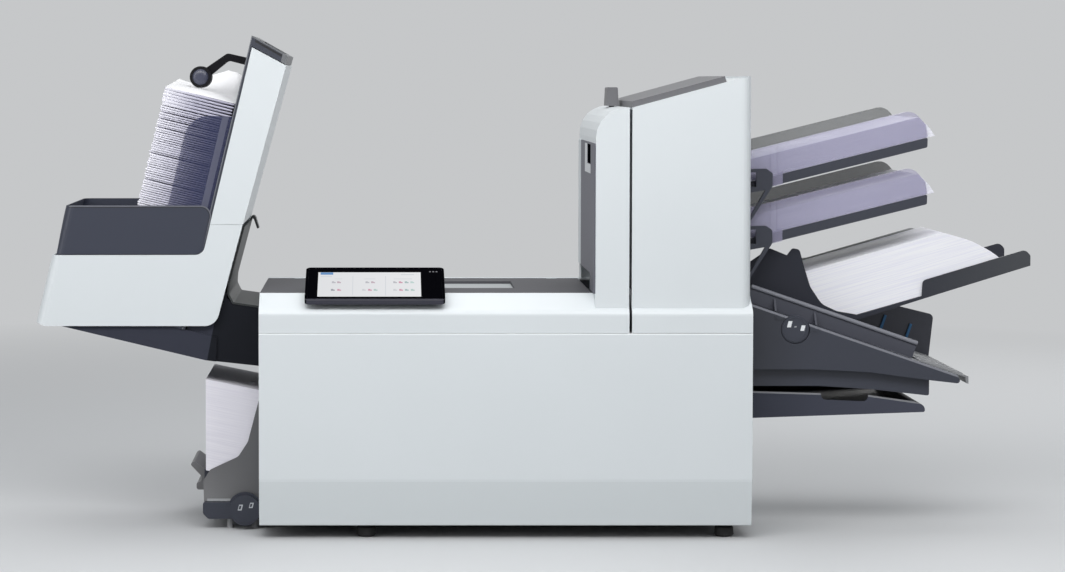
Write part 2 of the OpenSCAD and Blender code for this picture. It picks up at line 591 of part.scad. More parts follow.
// Height of the hopper's near rim
function rim_z(x) = hop_z - (x - half_w - gap) * tan(hop_tilt);
dial_x = half_w + 71;
dial_z = 314;
under_half = 150;
module hopper_body() color("#3f4149") home() difference() {
  union() {
    hop_slope() along_y(-hop_half, hop_half)
      polygon([[(3 * sin(hop_tilt) - gap) / cos(hop_tilt), -3], [hop_l, -3], [hop_l, 0],
        [-gap / cos(hop_tilt), 0]]);
    both_sides() along_y(-hop_half, -hop_half + 3) polygon(outline([[half_w + gap, 253],
      [half_w + gap, hop_z - 1], [hop_at(hop_l, 0)[0], hop_at(hop_l, 0)[1]],
      [half_w + 324, 231, 4], [half_w + 279, 236], [half_w + 181, 249], [half_w + 99, 253]]));
    along_y(-hop_half + 2.5, hop_half - 2.5) polygon([[half_w + gap, 253],
      [half_w + gap, 257], [half_w + 99, 257], [half_w + 181, 253], [half_w + 279, 240],
      [half_w + 279, 236], [half_w + 181, 249],
      [half_w + 99, 253]]);
    along_y(-under_half, under_half) polygon(outline([[half_w + gap, 226],
      [half_w + gap, 253.5], [half_w + 99, 253.5], [half_w + 181, 249.5], [half_w + 278, 236.6],
      [half_w + 278, 211, 3],
      [half_w + 189, 221], [half_w + 109, 226]]));
    block([dial_x - 11, -hop_half + 8, dial_z - 11], [dial_x + 11, -hop_half + 14, 328]);
    for (x = [half_w + 40, half_w + 93]) block([x, -hop_half - 1.5, rim_z(x) - 11],
                               [x + 13, -hop_half + 0.01, rim_z(x) - 5]);
  }
  bar_y(dial_x, dial_z, dial_r + 1, -hop_half - 1, -hop_half + 7.5);
  bar_y(dial_x, dial_z, 5 + run_gap, -hop_half + 7, -hop_half + 15);
  along_y(-under_half + 4, under_half - 4) polygon([[half_w - 1, 230], [half_w - 1, 249],
    [half_w + 99, 249], [half_w + 181, 245], [half_w + 272, 233], [half_w + 272, 215.5],
    [half_w + 189, 225], [half_w + 109, 230]]);
}
function hop_at(a, h) = [half_w + gap + a * cos(hop_tilt) + h * sin(hop_tilt),
                         hop_z - a * sin(hop_tilt) + h * cos(hop_tilt)];
module hopper_fence() color("#40424a") home() {
  hop_slope() {
    along_y(-channel_half - 3, -channel_half) polygon([[2, 0.3], [272, 0.3],
      [272, fence_h], [2, fence_h]]);
    rotate([0, 90, 0]) translate([-fence_h, -channel_half - 3, 2]) cylinder(h = 270, r = 3.6);
  }
  for (x = [half_w + 44, half_w + 106]) along_x(x, x + 3)
    polygon([[-channel_half - 2.9, rim_z(x) + 0.4],
    [-channel_half - 19, rim_z(x) + 0.4], [-channel_half - 2.9, rim_z(x) + 20]]);
}
module hopper_far_guide() color("#45474e") home() hop_slope() {
  along_y(channel_half, channel_half + 3) polygon(outline([[2, 0.3], [354, 0.3],
    [338, far_h, 8], [2, far_h - 30, 4]]));
  for (a = [262, 306]) along_y(channel_half - 4, channel_half) polygon([[a, 20], [a + 4, 20],
    [a + 4, 44], [a, 44]]);
}
module hopper_extension() color("#74767c") home() hop_slope() {
  along_y(-150, 110) polygon([[276, 0.3], [352, 0.3], [357, -8], [360, -8], [356, 3],
    [276, 3]]);
  for (y = [-140 : 18 : 100]) along_y(y, y + 5) polygon([[280, 2.9], [350, 2.9], [348, 4.6],
    [282, 4.6]]);
}
module hopper_dial() color("#3a3c42") home() {
  bar_y(dial_x, dial_z, dial_r, -hop_half + 1, -hop_half + 7);
  bar_y(dial_x, dial_z, 5, -hop_half + 6.9, -hop_half + 17);
  difference() {
    bar_y(dial_x, dial_z, dial_r - 2, -hop_half - 0.4, -hop_half + 1.1);
    bar_y(dial_x, dial_z, dial_r - 4, -hop_half - 1, -hop_half + 0.6);
  }
}

// The divert tray slides out to the right below the hopper on two tongues
module divert_tray() color("#34363d") home() {
  difference() {
    along_y(-under_half, under_half) polygon(outline([[half_w + gap, 176.5],
      [half_w + gap, 218], [half_w + 181, 212.5], [half_w + 255, 202, 6],
      [half_w + 272, 196, 10], [half_w + 272, 186, 3]]));
    along_y(-under_half + 3, under_half - 3) polygon([[half_w + 3.5, 180],
      [half_w + 3.5, 240], [half_w + 189, 236], [half_w + 251, 230], [half_w + 251, 189]]);
    along_y(-under_half - 1, -under_half + 4) polygon(outline([[half_w + 113, 240],
      [half_w + 113, 205, 8],
      [half_w + 185, 202, 8], [half_w + 185, 240]]));
  }
  both_sides() block([half_w - 92, -112, 186], [half_w + 4, -100, 198]);
}

// The stacker leans: x runs across the pile and z up it
pile_x = -half_w - pile_out;
module stacker_lean() translate([pile_x, 0, pile_z]) rotate([0, lean, 0]) children();
function lean_at(x, z) = [pile_x + x * cos(lean) + z * sin(lean),
                          pile_z - x * sin(lean) + z * cos(lean)];
frame_x = env_w + 0.8;
module stacker_chassis() color("#25272c") home() {
  along_y(-shell_half + 6, shell_half - 6) polygon([[-half_w - 313, 315.6], [-half_w - 86, 261.5],
    [-half_w - 70, 259.6], lean_at(frame_x + 55, -4.2), lean_at(-84, -4.2)]);
  along_y(-102, 102) polygon([[-half_w - 4, 258], [-half_w + 22, 258],
    [-half_w + 22, 332], [-half_w - 4, 332]]);
  along_y(-114, 114) polygon([[-half_w - 71, 259.7], [-half_w - gap, 252], [-half_w - gap, 341.5],
    [-half_w - 44.5, 347.8], [-half_w - 53.6, 358], [-half_w - 53.8, 366], lean_at(frame_x + 7, 50),
    lean_at(frame_x + 7, -4.3)]);
}
module stacker_shell() color("#e3e9ec") home() difference() {
  stacker_outer(0);
  stacker_outer(skin);
}
// The white shell's outline, cut back by a wall; the cut one is open above and below
module stacker_outer(t) intersection() {
  along_y(-shell_half + t, shell_half - t) polygon(outline(t == 0 ?
    [[-half_w - 322, 424], [-half_w - 347, 320.5, 2], [-half_w - 332.5, 315, 6],
    [-half_w - 70, 315, 22], [-half_w - 28.5, 470.7],
     [-half_w - 78.4, 470.7], [-half_w - 89.5, 424.3, 15]] :
    [[-half_w - 319, 480], [-half_w - 322 + t, 424], [-half_w - 346 + t, 321],
    [-half_w - 347 + t, 300], [-half_w - 19, 300],
     [-half_w - 19, 480]]));
  stacker_lean() linear_extrude(400, center = true) polygon(outline([
    [lean_x_left + t, -shell_half + t, 16 - t], [260, -shell_half + t],
    [260, shell_half - t], [lean_x_left + t, shell_half - t, 16 - t]]));
}
lean_x_left = -110.3;
module stacker_tub() color("#4b4e5a") home() {
  difference() {
    intersection() {
      along_y(-tub_w, tub_w) polygon(outline([[-half_w - 301, 500, 2], [-half_w - 79.3, 500, 16],
        lean_at(env_w + 0.3, -4.2), lean_at(-94, -4.2), [-half_w - 326, 366]]));
      tub_plan(0);
    }
    intersection() {
      along_y(-tub_w + 2.5, tub_w - 2.5) polygon([[-half_w - 298, 520], [-half_w - 322.5, 366],
        lean_at(-90, 0), lean_at(env_w + 20, 0), [-half_w - 29, 520]]);
      tub_plan(2.5);
    }
  }
  intersection() {
    along_y(-tub_w - 2.4, -tub_w + 0.01) polygon(outline([[-half_w - 301, 500, 2],
      [-half_w - 72.4, 500, 16],
      [-half_w - 90.3, 425.5, 14], [-half_w - 316, 425.5]]));
    tub_plan(-2.4);
  }
}
tub_w = shell_half - skin - 0.3;
// The tub seen along its lean, drawn in by a wall's thickness
module tub_plan(t) stacker_lean() linear_extrude(800, center = true) polygon(outline([
  [-106.9 + t, -tub_w + t, 14 - t], [260, -tub_w + t], [260, tub_w - t],
  [-106.9 + t, tub_w - t, 14 - t]]));
module column_frame() color("#3f4148") home() stacker_lean() difference() {
  union() {
    along_y(-shell_half + 3.5, shell_half - 3.5) polygon([[frame_x, -4.2], [frame_x + 4.5, -4.2],
      [frame_x + 4.5, column_h - 8], [frame_x, column_h]]);
    both_sides() block([frame_x + 4.4, -12, arm_z - 8], [arm_x + 6, -8, arm_z + 8]);
    bar_y(arm_x, arm_z, 3, -9, 9);
    along_y(-shell_half + 3.5, shell_half - 3.5) polygon([[frame_x, column_h],
      [frame_x + 61, column_h - 17.5], [frame_x + 60.5, column_h - 31],
      [frame_x + 4, column_h - 16]]);
  }
  along_y(-7, 7) polygon([[frame_x - 1, 330], [frame_x + 5, 330], [frame_x + 5, 442],
    [frame_x - 1, 442]]);
  along_y(-shell_half + 12, shell_half - 12) polygon([[frame_x + 12, column_h],
    [frame_x + 12, column_h - 9], [frame_x + 52, column_h - 20], [frame_x + 56, column_h - 9]]);
  along_y(-60, 60) polygon([[frame_x - 1, 2], [frame_x + 8, 2], [frame_x + 8, 24],
    [frame_x - 1, 24]]);
}
module column_cover() color("#e6ecef") home() stacker_lean() difference() {
  along_y(-shell_half, shell_half) polygon(outline([[frame_x + 4.9, 162.5],
    [frame_x + 54, 174.5], [frame_x + 62, column_h - 32.5], [frame_x + 4.9, column_h - 17.5]]));
  along_y(-shell_half + skin, shell_half - skin) polygon([[frame_x, 150], [frame_x + 51, 150],
    [frame_x + 58.5, column_h - 35], [frame_x, column_h - 20]]);
}
// The flap of the last envelope stands up at the far side
module envelope_pile() color("#f2f1f8") home() stacker_lean() {
  block([0, -env_l / 2, 0], [env_w, env_l / 2, env_pile]);
  hull() {
    block([0, 40, env_pile - 2], [env_w, env_l / 2, env_pile - 0.01]);
    along_y(env_l / 2 - 2, env_l / 2) polygon([[0, env_pile - 2], [0.5, env_pile + 14],
      [env_w - 26, env_pile + 46], [env_w - 8, env_pile + 43], [env_w, env_pile + 30],
      [env_w, env_pile - 2]]);
  }
}
module stacker_guide() color("#8d8fa6") home() stacker_lean()
  along_y(-env_l / 2 - 3.2, -env_l / 2 - 1) polygon(outline([[45.5, 2], [frame_x - 0.5, 2],
    [frame_x - 0.5, 331], [45.5, 318, 38]]));
arm_x = frame_x + 22;
arm_z = 418;
roll_x = 42;
roll_z = env_pile + 26.2;
module stacker_arm() color("#26282d") home() stacker_lean() {
  difference() {
    along_y(-5, 5) polygon(outline([[arm_x + 6.5, arm_z - 6.5, 6],
      [arm_x + 6.5, arm_z + 6.5, 6], [arm_x - 59, arm_z + 5.5, 8],
      [roll_x - 5.5, roll_z + 5, 5], [roll_x + 5, roll_z - 6.5, 5],
      [arm_x - 54, arm_z - 5.5, 8]]));
    bar_y(arm_x, arm_z, 3 + run_gap, -20, 20);
    bar_y(roll_x, roll_z, 3 + run_gap, -20, 20);
  }
}
module stacker_roller() color("#4b4e5b") home() stacker_lean() {
  for (y = [-16, 5.4]) difference() {
    bar_y(roll_x, roll_z, roller_r, y, y + 10.6);
    bar_y(roll_x, roll_z, roller_r - 5, y < 0 ? y - 1 : y + 9, y < 0 ? y + 1.6 : y + 12);
  }
  bar_y(roll_x, roll_z, 3, -17, 17);
}

// The chute is a thin plate with a short hook at its far top corner
chute_t = 2.5;
module chute() color("#76777c") home() {
  difference() {
    along_y(-115, 115) polygon(outline([[-half_w - gap, 342], [-half_w - 45, 348.3, 6],
      [-half_w - 53, 363, 12], [-half_w - 51.5, 381, 20], [-half_w - 28.2, 467],
      [-half_w - 26.4, 474.5, 4],
      [-half_w - 20, 472.5, 4], [-half_w - 14, 453], [-half_w - 17, 452],
      [-half_w - 22.4, 467.8], [-half_w - 24.9, 468.6],
      [-half_w - 25.9, 466], [-half_w - 48.8, 380, 20], [-half_w - 50, 364, 10],
      [-half_w - 43.5, 350.9, 4],
      [-half_w - gap, 344.8]]));
    block([-half_w - 31, -116, 466], [-half_w - 9, 92, 480]);
    block([-half_w - 25.4, -116, 440], [-half_w - 9, 92, 467]);
  }
}

// The insert feeder below the stacker
ins_tilt = 11.6;
ins_top = 41.5;
ins_half = insert_w / 2 + 13;
module insert_slope() translate([-half_w - 87, 0, 90]) rotate([0, ins_tilt, 0]) children();
module insert_base() color("#3c3d44") home() {
  difference() {
    union() {
      along_y(-ins_half, ins_half) polygon(outline([[-half_w - 91, 24, 8],
        [-half_w - 83, 16, 6], [-half_w, 16],
        [-half_w, ins_top], [-half_w - 91, ins_top, 3]]));
      intersection() {
        bar_y(ins_dial_x, ins_dial_z, knob_r + 3.5, -ins_half, -ins_half + 3);
        block([-half_w - 89, -ins_half - 1, 20], [-half_w, -ins_half + 4, 90]);
      }
    }
    bar_y(ins_dial_x, ins_dial_z, 4 + run_gap, -ins_half - 1, -ins_half + 20);
  }
  insert_slope() along_y(-ins_half + 20, ins_half - 20) polygon([[0, -4], [86, -4], [86, -0.4],
    [0, -0.4]]);
  along_y(-ins_half + 20, ins_half - 20) polygon([[-half_w - 81, ins_top - 0.1],
    [-half_w - 73, ins_top - 0.1], [-half_w - 73, 84.5], [-half_w - 81, 86.1]]);
  along_y(-60, 60) polygon(outline([[-half_w - 80, 62], [-half_w - 80, 84],
    [-half_w - 88, 83.5], [-half_w - 92, 84, 4],
    [-half_w - 109, 97, 3.5], [-half_w - 115, 92, 3.5], [-half_w - 97, 73, 4],
    [-half_w - 97, 66, 3], [-half_w - 105, 62, 4],
    [-half_w - 105, 52, 4], [-half_w - 91, 52, 3]]));
  for (x = [-half_w - 50, -half_w - 11], y = [-ins_half + 18, ins_half - 18])
    translate([x, y, 0]) cylinder(h = 16.01, r = 5);
}
module insert_pile_sheets() color("#eceaf3") home() insert_slope()
  along_y(-insert_w / 2, insert_w / 2) polygon([[0, -0.4], [insert_l, -0.4],
    [insert_l - insert_pile * tan(ins_tilt), insert_pile],
    [-insert_pile * tan(ins_tilt), insert_pile]]);
module insert_side() along_y(-insert_w / 2 - 3.6, -insert_w / 2 - 1.2)
  polygon(outline([[-half_w - 1, 214], [-half_w - 22, 134, 10], [-half_w - 37, 111, 14],
    [-half_w - 80, 91, 6],
    [-half_w - 91, 74, 6], [-half_w - 90, ins_top + 0.6], [-half_w - 1, ins_top + 0.6]]));
module insert_guide_near() color("#5b5c62") home() insert_side();
module insert_guide_far() color("#5b5c62") home() mirror([0, 1, 0]) insert_side();
ins_dial_x = -half_w - 26;
ins_dial_z = 30.5;
module insert_dial() color("#3a3d46") home() {
  bar_y(ins_dial_x, ins_dial_z, knob_r, -ins_half - 8, -ins_half - gap);
  bar_y(ins_dial_x, ins_dial_z, 4, -ins_half - 0.5, -ins_half + 18);
}

// The mechanism between the two side frames
fold_x = -40;
fold_z = [190, 190 - 2 * fold_r - 0.4];
module side_frames() color("#a9adb1") home() both_sides() difference() {
  union() {
    along_y(-frame_y - frame_t, -frame_y) polygon(outline([[-half_w + 19, pan_z + pan_t],
      [half_w - 19, pan_z + pan_t], [half_w - 19, rail_z, 6], [-half_w + 19, rail_z, 6]]));
    block([-half_w + 19, -frame_y - 0.01, pan_z + pan_t],
          [half_w - 19, -frame_y + 14, pan_z + pan_t + 2.5]);
  }
  for (z = fold_z) bar_y(fold_x, z, journal_r + run_gap, -frame_y - 9, -frame_y + 9);
  for (x = [-250, 160]) along_y(-frame_y - 9, -frame_y + 9) polygon(outline([[x - 70, 70, 12],
    [x + 70, 70, 12], [x + 70, 230, 12], [x - 70, 230, 12]]));
}
module fold_roller(z, reach) {
  bar_y(fold_x, z, fold_r, -frame_y + 1, frame_y - 1);
  bar_y(fold_x, z, journal_r, -frame_y - reach, frame_y + 7);
}
module fold_roller_upper() color("#3b3b3f") home() fold_roller(fold_z[0], 7);
// The lower roller ends in a green knob for clearing a jam by hand
module fold_roller_lower() color("#3b3b3f") home() {
  fold_roller(fold_z[1], 26);
  bar_y(fold_x, fold_z[1], 20, -frame_y - 28, -frame_y - 12);
}
module fold_plates() color("#b9bdc1") home() for (s = [-1, 1]) translate([fold_x - 22, 0, 162])
  rotate([0, 180 - s * 24, 0]) difference() {
    block([0, -frame_y + 0.2, s * 8 - 4], [230, frame_y - 0.2, s * 8 + 4]);
    block([-1, -frame_y + 8, s * 8 - 2], [226, frame_y - 8, s * 8 + 2]);
  }
module collator_bed() color("#9a9ea3") home() {
  block([-half_w + 6, -frame_y + 2, 332], [slit_l - 4, frame_y - 2, 336]);
  both_sides() for (x = [-340, -60, 150]) block([x, -frame_y - frame_t, rail_z],
    [x + 20, -frame_y, 332.01]);
  both_sides() block([-half_w + 6, -frame_y - frame_t, 332], [slit_l - 4, -frame_y + 2.01, 341]);
}
tank_x = -half_w + 31;
module moistener_tank() color("#dfe9ee") home() {
  difference() {
    block([tank_x, -188, 60], [tank_x + 100, -132, 170]);
    block([tank_x + 3, -185, 63], [tank_x + 97, -135, 171]);
  }
  block([tank_x, -188, 169.9], [tank_x + 100, -132, 173]);
  translate([tank_x + 78, -160, 172.9]) cylinder(h = 14, r = 13);
  block([tank_x + 10, -150, pan_z + pan_t], [tank_x + 90, -frame_y - frame_t, 60.01]);
}
module main_motor() color("#6d7176") home() {
  bar_y(150, 250, 30, frame_y + frame_t, back_y - 12);
  block([112, frame_y + frame_t, 245], [188, frame_y + frame_t + 5, 255]);
}
box_x = -half_w + 141;
box_l = 160;
module electronics_box() color("#8b9095") home() difference() {
  block([box_x, frame_y + frame_t, pan_z + pan_t + 3], [box_x + box_l, back_y - 10, 210]);
  for (x = [box_x + 14 : 14 : box_x + box_l - 20])
    block([x, back_y - 13, 60], [x + 6, back_y - 9, 180]);
}
// One block at the back holds the mains inlet and the rocker switch beside it
inlet_x = [-half_w + 49, -half_w + 109];
inlet_z = [60, 84];
rocker_x = -half_w + 99;
rocker_z = 72;
rocker_y = back_y - 6;
module mains_inlet() color("#1c1d20") home() {
  difference() {
    block([inlet_x[0], back_y - 26, inlet_z[0]], [inlet_x[1], back_y + 0.5, inlet_z[1]]);
    block([inlet_x[0] + 3, back_y - 16, 63], [inlet_x[0] + 27, back_y + 1, 81]);
    block([rocker_x - 7.5, back_y - 16, rocker_z - 10.5],
          [rocker_x + 7.5, back_y + 1, rocker_z + 10.5]);
  }
  for (x = [-5, 0, 5]) block([inlet_x[0] + 14 + x, back_y - 17, 69 + (x == 0 ? 4 : 0)],
                             [inlet_x[0] + 16 + x, back_y - 5, 73 + (x == 0 ? 4 : 0)]);
  bar_x(rocker_y, rocker_z, 1.5, rocker_x - 8, rocker_x + 8);
}
module power_switch() color("#1c1d20") home() difference() {
  along_x(rocker_x - 6.8, rocker_x + 6.8) polygon([[back_y + 2, rocker_z - 8.4],
    [back_y - 0.8, rocker_z], [back_y + 0.2, rocker_z + 8.4], [back_y - 6, rocker_z + 8],
    [rocker_y - 4, rocker_z + 3], [rocker_y - 4, rocker_z - 3], [back_y - 6, rocker_z - 8]]);
  bar_x(rocker_y, rocker_z, 1.5 + run_gap, rocker_x - 9, rocker_x + 9);
}

base_pan();
feet();
side_frames();
base_shell();
band_left();
tower_left();
tower_liner();
sight_window();
fold_plates();
moistener_tank();
main_motor();
electronics_box();
mains_inlet();
power_switch();
collator_bed();
stacker_chassis();
stacker_shell();
stacker_tub();
column_frame();
column_cover();
envelope_pile();
stacker_guide();
stacker_arm();
stacker_roller();
chute();
insert_base();
insert_pile_sheets();
insert_guide_near();
insert_guide_far();
insert_dial();
front_door();
deck_lid();
screen_body();
screen_glass();
release_handle();
tower_right();
carriage_housing();
top_panel();
feeder_frame();
tray_bracket();
tray_upper();
sheets_upper();
guide_upper_near();
guide_upper_far();
tray_lower();
sheets_lower();
guide_lower_near();
guide_lower_far();
hcf_tray();
hcf_sheets();
hcf_guide_near();
hcf_guide_far();
hopper_body();
hopper_fence();
hopper_far_guide();
hopper_extension();
hopper_dial();
divert_tray();
fold_roller_upper();
fold_roller_lower();
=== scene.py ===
import json
import math
import random
import bpy
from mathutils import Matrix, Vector


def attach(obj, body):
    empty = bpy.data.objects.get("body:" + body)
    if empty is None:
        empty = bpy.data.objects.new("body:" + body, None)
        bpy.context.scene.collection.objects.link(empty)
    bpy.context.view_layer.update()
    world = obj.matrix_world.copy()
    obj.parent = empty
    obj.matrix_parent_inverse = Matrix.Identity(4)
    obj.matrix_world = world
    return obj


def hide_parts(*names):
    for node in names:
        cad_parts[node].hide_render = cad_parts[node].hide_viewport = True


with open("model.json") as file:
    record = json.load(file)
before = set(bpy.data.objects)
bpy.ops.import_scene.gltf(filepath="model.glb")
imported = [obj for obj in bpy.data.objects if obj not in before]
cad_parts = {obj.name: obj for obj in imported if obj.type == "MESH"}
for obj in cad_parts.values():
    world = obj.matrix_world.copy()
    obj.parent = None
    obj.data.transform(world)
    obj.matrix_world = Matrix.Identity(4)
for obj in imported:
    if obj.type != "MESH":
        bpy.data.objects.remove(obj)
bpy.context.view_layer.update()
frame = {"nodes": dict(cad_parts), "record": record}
nodes = frame["nodes"]
print("stage: frame loaded,", len(nodes), "nodes")

# The shared frame's origin is the middle of the plan. Places below are in millimetres from
# the middle of the base, as in the part's source. place() and axis() work out the shift.
shiftX, shiftY = -49.75, 10.0
slopes = {"lean": 13.5, "tray": 14.0, "hcf": 16.1, "hopper": 19.0, "screen": 22.7,
          "insert": 11.6}
leanOrigin = (-600.0, 340.0)  # X and Z of the stacker's slope
hopperOrigin = (371.3, 353.8)  # X and Z of the hopper's slope
screenOrigin = (-214.0, 355.6)  # Y and Z of the screen's front edge


def place(x, y, z):
    return Vector(((x + shiftX) / 1000, (y + shiftY) / 1000, z / 1000))


# Shader maths: a socket that takes part in plain arithmetic
class Field:
    def __init__(self, tree, socket):
        self.tree, self.socket = tree, socket

    def maths(self, operation, other=None, flipped=False, clamp=False):
        node = self.tree.nodes.new("ShaderNodeMath")
        node.operation = operation
        node.use_clamp = clamp
        first, second = (other, self) if flipped else (self, other)
        for slot, value in ((0, first), (1, second)):
            if isinstance(value, Field):
                self.tree.links.new(value.socket, node.inputs[slot])
            elif value is not None:
                node.inputs[slot].default_value = value
        return Field(self.tree, node.outputs[0])

    def __add__(self, other):
        return self.maths("ADD", other)

    def __radd__(self, other):
        return self.maths("ADD", other, True)

    def __sub__(self, other):
        return self.maths("SUBTRACT", other)

    def __rsub__(self, other):
        return self.maths("SUBTRACT", other, True)

    def __mul__(self, other):
        return self.maths("MULTIPLY", other)

    def __rmul__(self, other):
        return self.maths("MULTIPLY", other, True)

    def __truediv__(self, other):
        return self.maths("DIVIDE", other)

    def __rtruediv__(self, other):
        return self.maths("DIVIDE", other, True)

    def __gt__(self, other):
        return self.maths("GREATER_THAN", other)

    def __lt__(self, other):
        return self.maths("LESS_THAN", other)

    def most(self, other):
        return self.maths("MAXIMUM", other)

    def root(self):
        return self.maths("SQRT")

    def within(self, low, high):
        return (self > low) * (self < high)

    # from 0 at low to 1 at high
    def rising(self, low, high):
        return ((self - low) / (high - low)).maths("ADD", 0.0, clamp=True)


# A tree of shader nodes, with the one method that adds a node
class NodeTree:
    def __init__(self, tree):
        self.tree = tree

    def node(self, kind, settings=None, sockets=None, output=0):
        made = self.tree.nodes.new(kind)
        for key, value in (settings or {}).items():
            setattr(made, key, value)
        for key, value in (sockets or {}).items():
            if isinstance(value, Field):
                self.tree.links.new(value.socket, made.inputs[key])
            else:
                made.inputs[key].default_value = value
        return Field(self.tree, made.outputs[output])

    # 1 for what the camera sees, directly, in a shiny surface or through a clear one
    def inView(self):
        rays = [self.node("ShaderNodeLightPath", output=name)
                for name in ("Is Camera Ray", "Is Glossy Ray", "Is Transmission Ray")]
        return rays[0].most(rays[1]).most(rays[2])


# A material with one principled shader
class Finish(NodeTree):
    def __init__(self, name, colour, roughness, metallic=0.0):
        self.material = bpy.data.materials.new(name)
        self.material.use_nodes = True
        super().__init__(self.material.node_tree)
        self.shader = self.tree.nodes["Principled BSDF"]
        self.constant("Base Color", (*colour, 1))
        self.constant("Roughness", roughness)
        self.constant("Metallic", metallic)
        self.place = self.node("ShaderNodeTexCoord", output="Object")

    def constant(self, socket, value):
        self.shader.inputs[socket].default_value = value

    def feed(self, name, field):
        self.tree.links.new(field.socket, self.shader.inputs[name])

    # one coordinate in the part's own millimetres
    def axis(self, which):
        at = self.node("ShaderNodeSeparateXYZ", sockets={0: self.place}, output=which)
        return at * 1000.0 - (shiftX, shiftY, 0.0)["XYZ".index(which)]

    # along and above a slope that rises by degrees along a level axis
    def slope(self, start, height, degrees, level="X"):
        x, z = self.axis(level) - start, self.axis("Z") - height
        c, s = math.cos(math.radians(degrees)), math.sin(math.radians(degrees))
        return x * c + z * s, z * c - x * s

    def noise(self, scale, detail, stretch=None):
        at = self.place
        if stretch:
            at = self.node("ShaderNodeVectorMath", {"operation": "MULTIPLY"},
                           {0: self.place, 1: stretch})
        return self.node("ShaderNodeTexNoise", sockets={"Vector": at, "Scale": scale,
                                                        "Detail": detail})

    # noise that changes along one field only, with faint change along the others
    def layers(self, height, pitch, faint=0.01):
        x, y = self.axis("X") * faint, self.axis("Y") * faint
        at = self.node("ShaderNodeCombineXYZ", sockets={0: x, 1: y, 2: height / pitch})
        return self.node("ShaderNodeTexNoise", sockets={"Vector": at, "Scale": 1.0,
                                                        "Detail": 1.0})

    def blendColours(self, mask, low, high):
        low, high = [c if isinstance(c, Field) else (*c, 1) for c in (low, high)]
        return self.node("ShaderNodeMix", {"data_type": "RGBA"},
                         {0: mask, 6: low, 7: high}, output=2)

    def bump(self, height, strength, distance):
        self.feed("Normal", self.node("ShaderNodeBump", sockets={
            "Height": height, "Strength": strength, "Distance": distance}))


finishes = {}
mouldings = {  # colour, roughness, grain depth in metres, grain scale
    "white_shell": ((0.745, 0.785, 0.805), 0.38, 0.00004, 1400),
    "deck_grey": ((0.083, 0.083, 0.092), 0.5, 0.00006, 1100),
    "liner_grey": ((0.156, 0.157, 0.185), 0.5, 0.00006, 1100),
    "slate": ((0.034, 0.038, 0.054), 0.45, 0.00006, 1100),
    "panel_grey": ((0.165, 0.165, 0.175), 0.42, 0.00005, 1100),
    "pale_grey": ((0.28, 0.285, 0.295), 0.42, 0.00005, 1100),
    "dark_trim": ((0.014, 0.015, 0.019), 0.42, 0.00005, 1100),
    "rubber": ((0.018, 0.018, 0.018), 0.75, 0.00008, 700),
    "tank": ((0.62, 0.68, 0.72), 0.35, 0.00003, 900),
    "label": ((0.60, 0.62, 0.65), 0.3, 0.00001, 600),
    "insert_grey": ((0.125, 0.125, 0.13), 0.42, 0.00005, 1100),
    "feeder_slate": ((0.036, 0.038, 0.050), 0.42, 0.00005, 1100),
    "fence_slate": ((0.060, 0.063, 0.083), 0.4, 0.00005, 1100),
    "roller_hub": ((0.050, 0.054, 0.085), 0.28, 0.00003, 900),
    "arm_black": ((0.006, 0.006, 0.008), 0.45, 0.00005, 1100),
    "chute_grey": ((0.046, 0.049, 0.050), 0.42, 0.00005, 1100),
    "pale_louvre": ((0.70, 0.735, 0.755), 0.4, 0.00004, 1400),
    "tub_slate": ((0.034, 0.039, 0.060), 0.45, 0.00006, 1100),
    "window_black": ((0.002, 0.002, 0.003), 0.3, 0.00001, 600),
}
# specular levels of the plastics that are duller than the rest
matt = {"deck_grey": 0.12, "liner_grey": 0.15, "panel_grey": 0.25, "feeder_slate": 0.2,
        "window_black": 0.0, "stacker_chassis_finish": 0.12, "screen_body_finish": 0.0,
        "tower_liner_finish": 0.15, "hcf_guide_near_finish": 0.15, "arm_black": 0.12,
        "chute_grey": 0.15, "stacker_roller_finish": 0.08, "divert_tray_finish": 0.2}
plastic = {"specular": 0.5, "patches": (6, 1), "shade": 0.965, "grainDetail": 1,
           "grainRoughness": 0.1, "grainStrength": 0.5}


# a moulded plastic: slow change of tone, fine grain in roughness and bump
def moulding(name, tint=None, base=None):
    colour, roughness, depth, scale = mouldings[base or name]
    finish = Finish(name, colour, roughness)
    finish.constant("Specular IOR Level",
                    matt.get(name, matt.get(base, plastic["specular"])))
    shade = tuple(c * plastic["shade"] for c in colour)
    tone = finish.blendColours(finish.noise(*plastic["patches"]), shade, colour)
    if tint:
        tone = tint(finish, tone)
    finish.feed("Base Color", tone)
    grain = finish.noise(scale, plastic["grainDetail"])
    swing = plastic["grainRoughness"]
    finish.feed("Roughness", grain * swing + (roughness - swing / 2))
    finish.bump(grain, plastic["grainStrength"], depth)
    finishes[name] = finish


for name in mouldings:
    moulding(name)

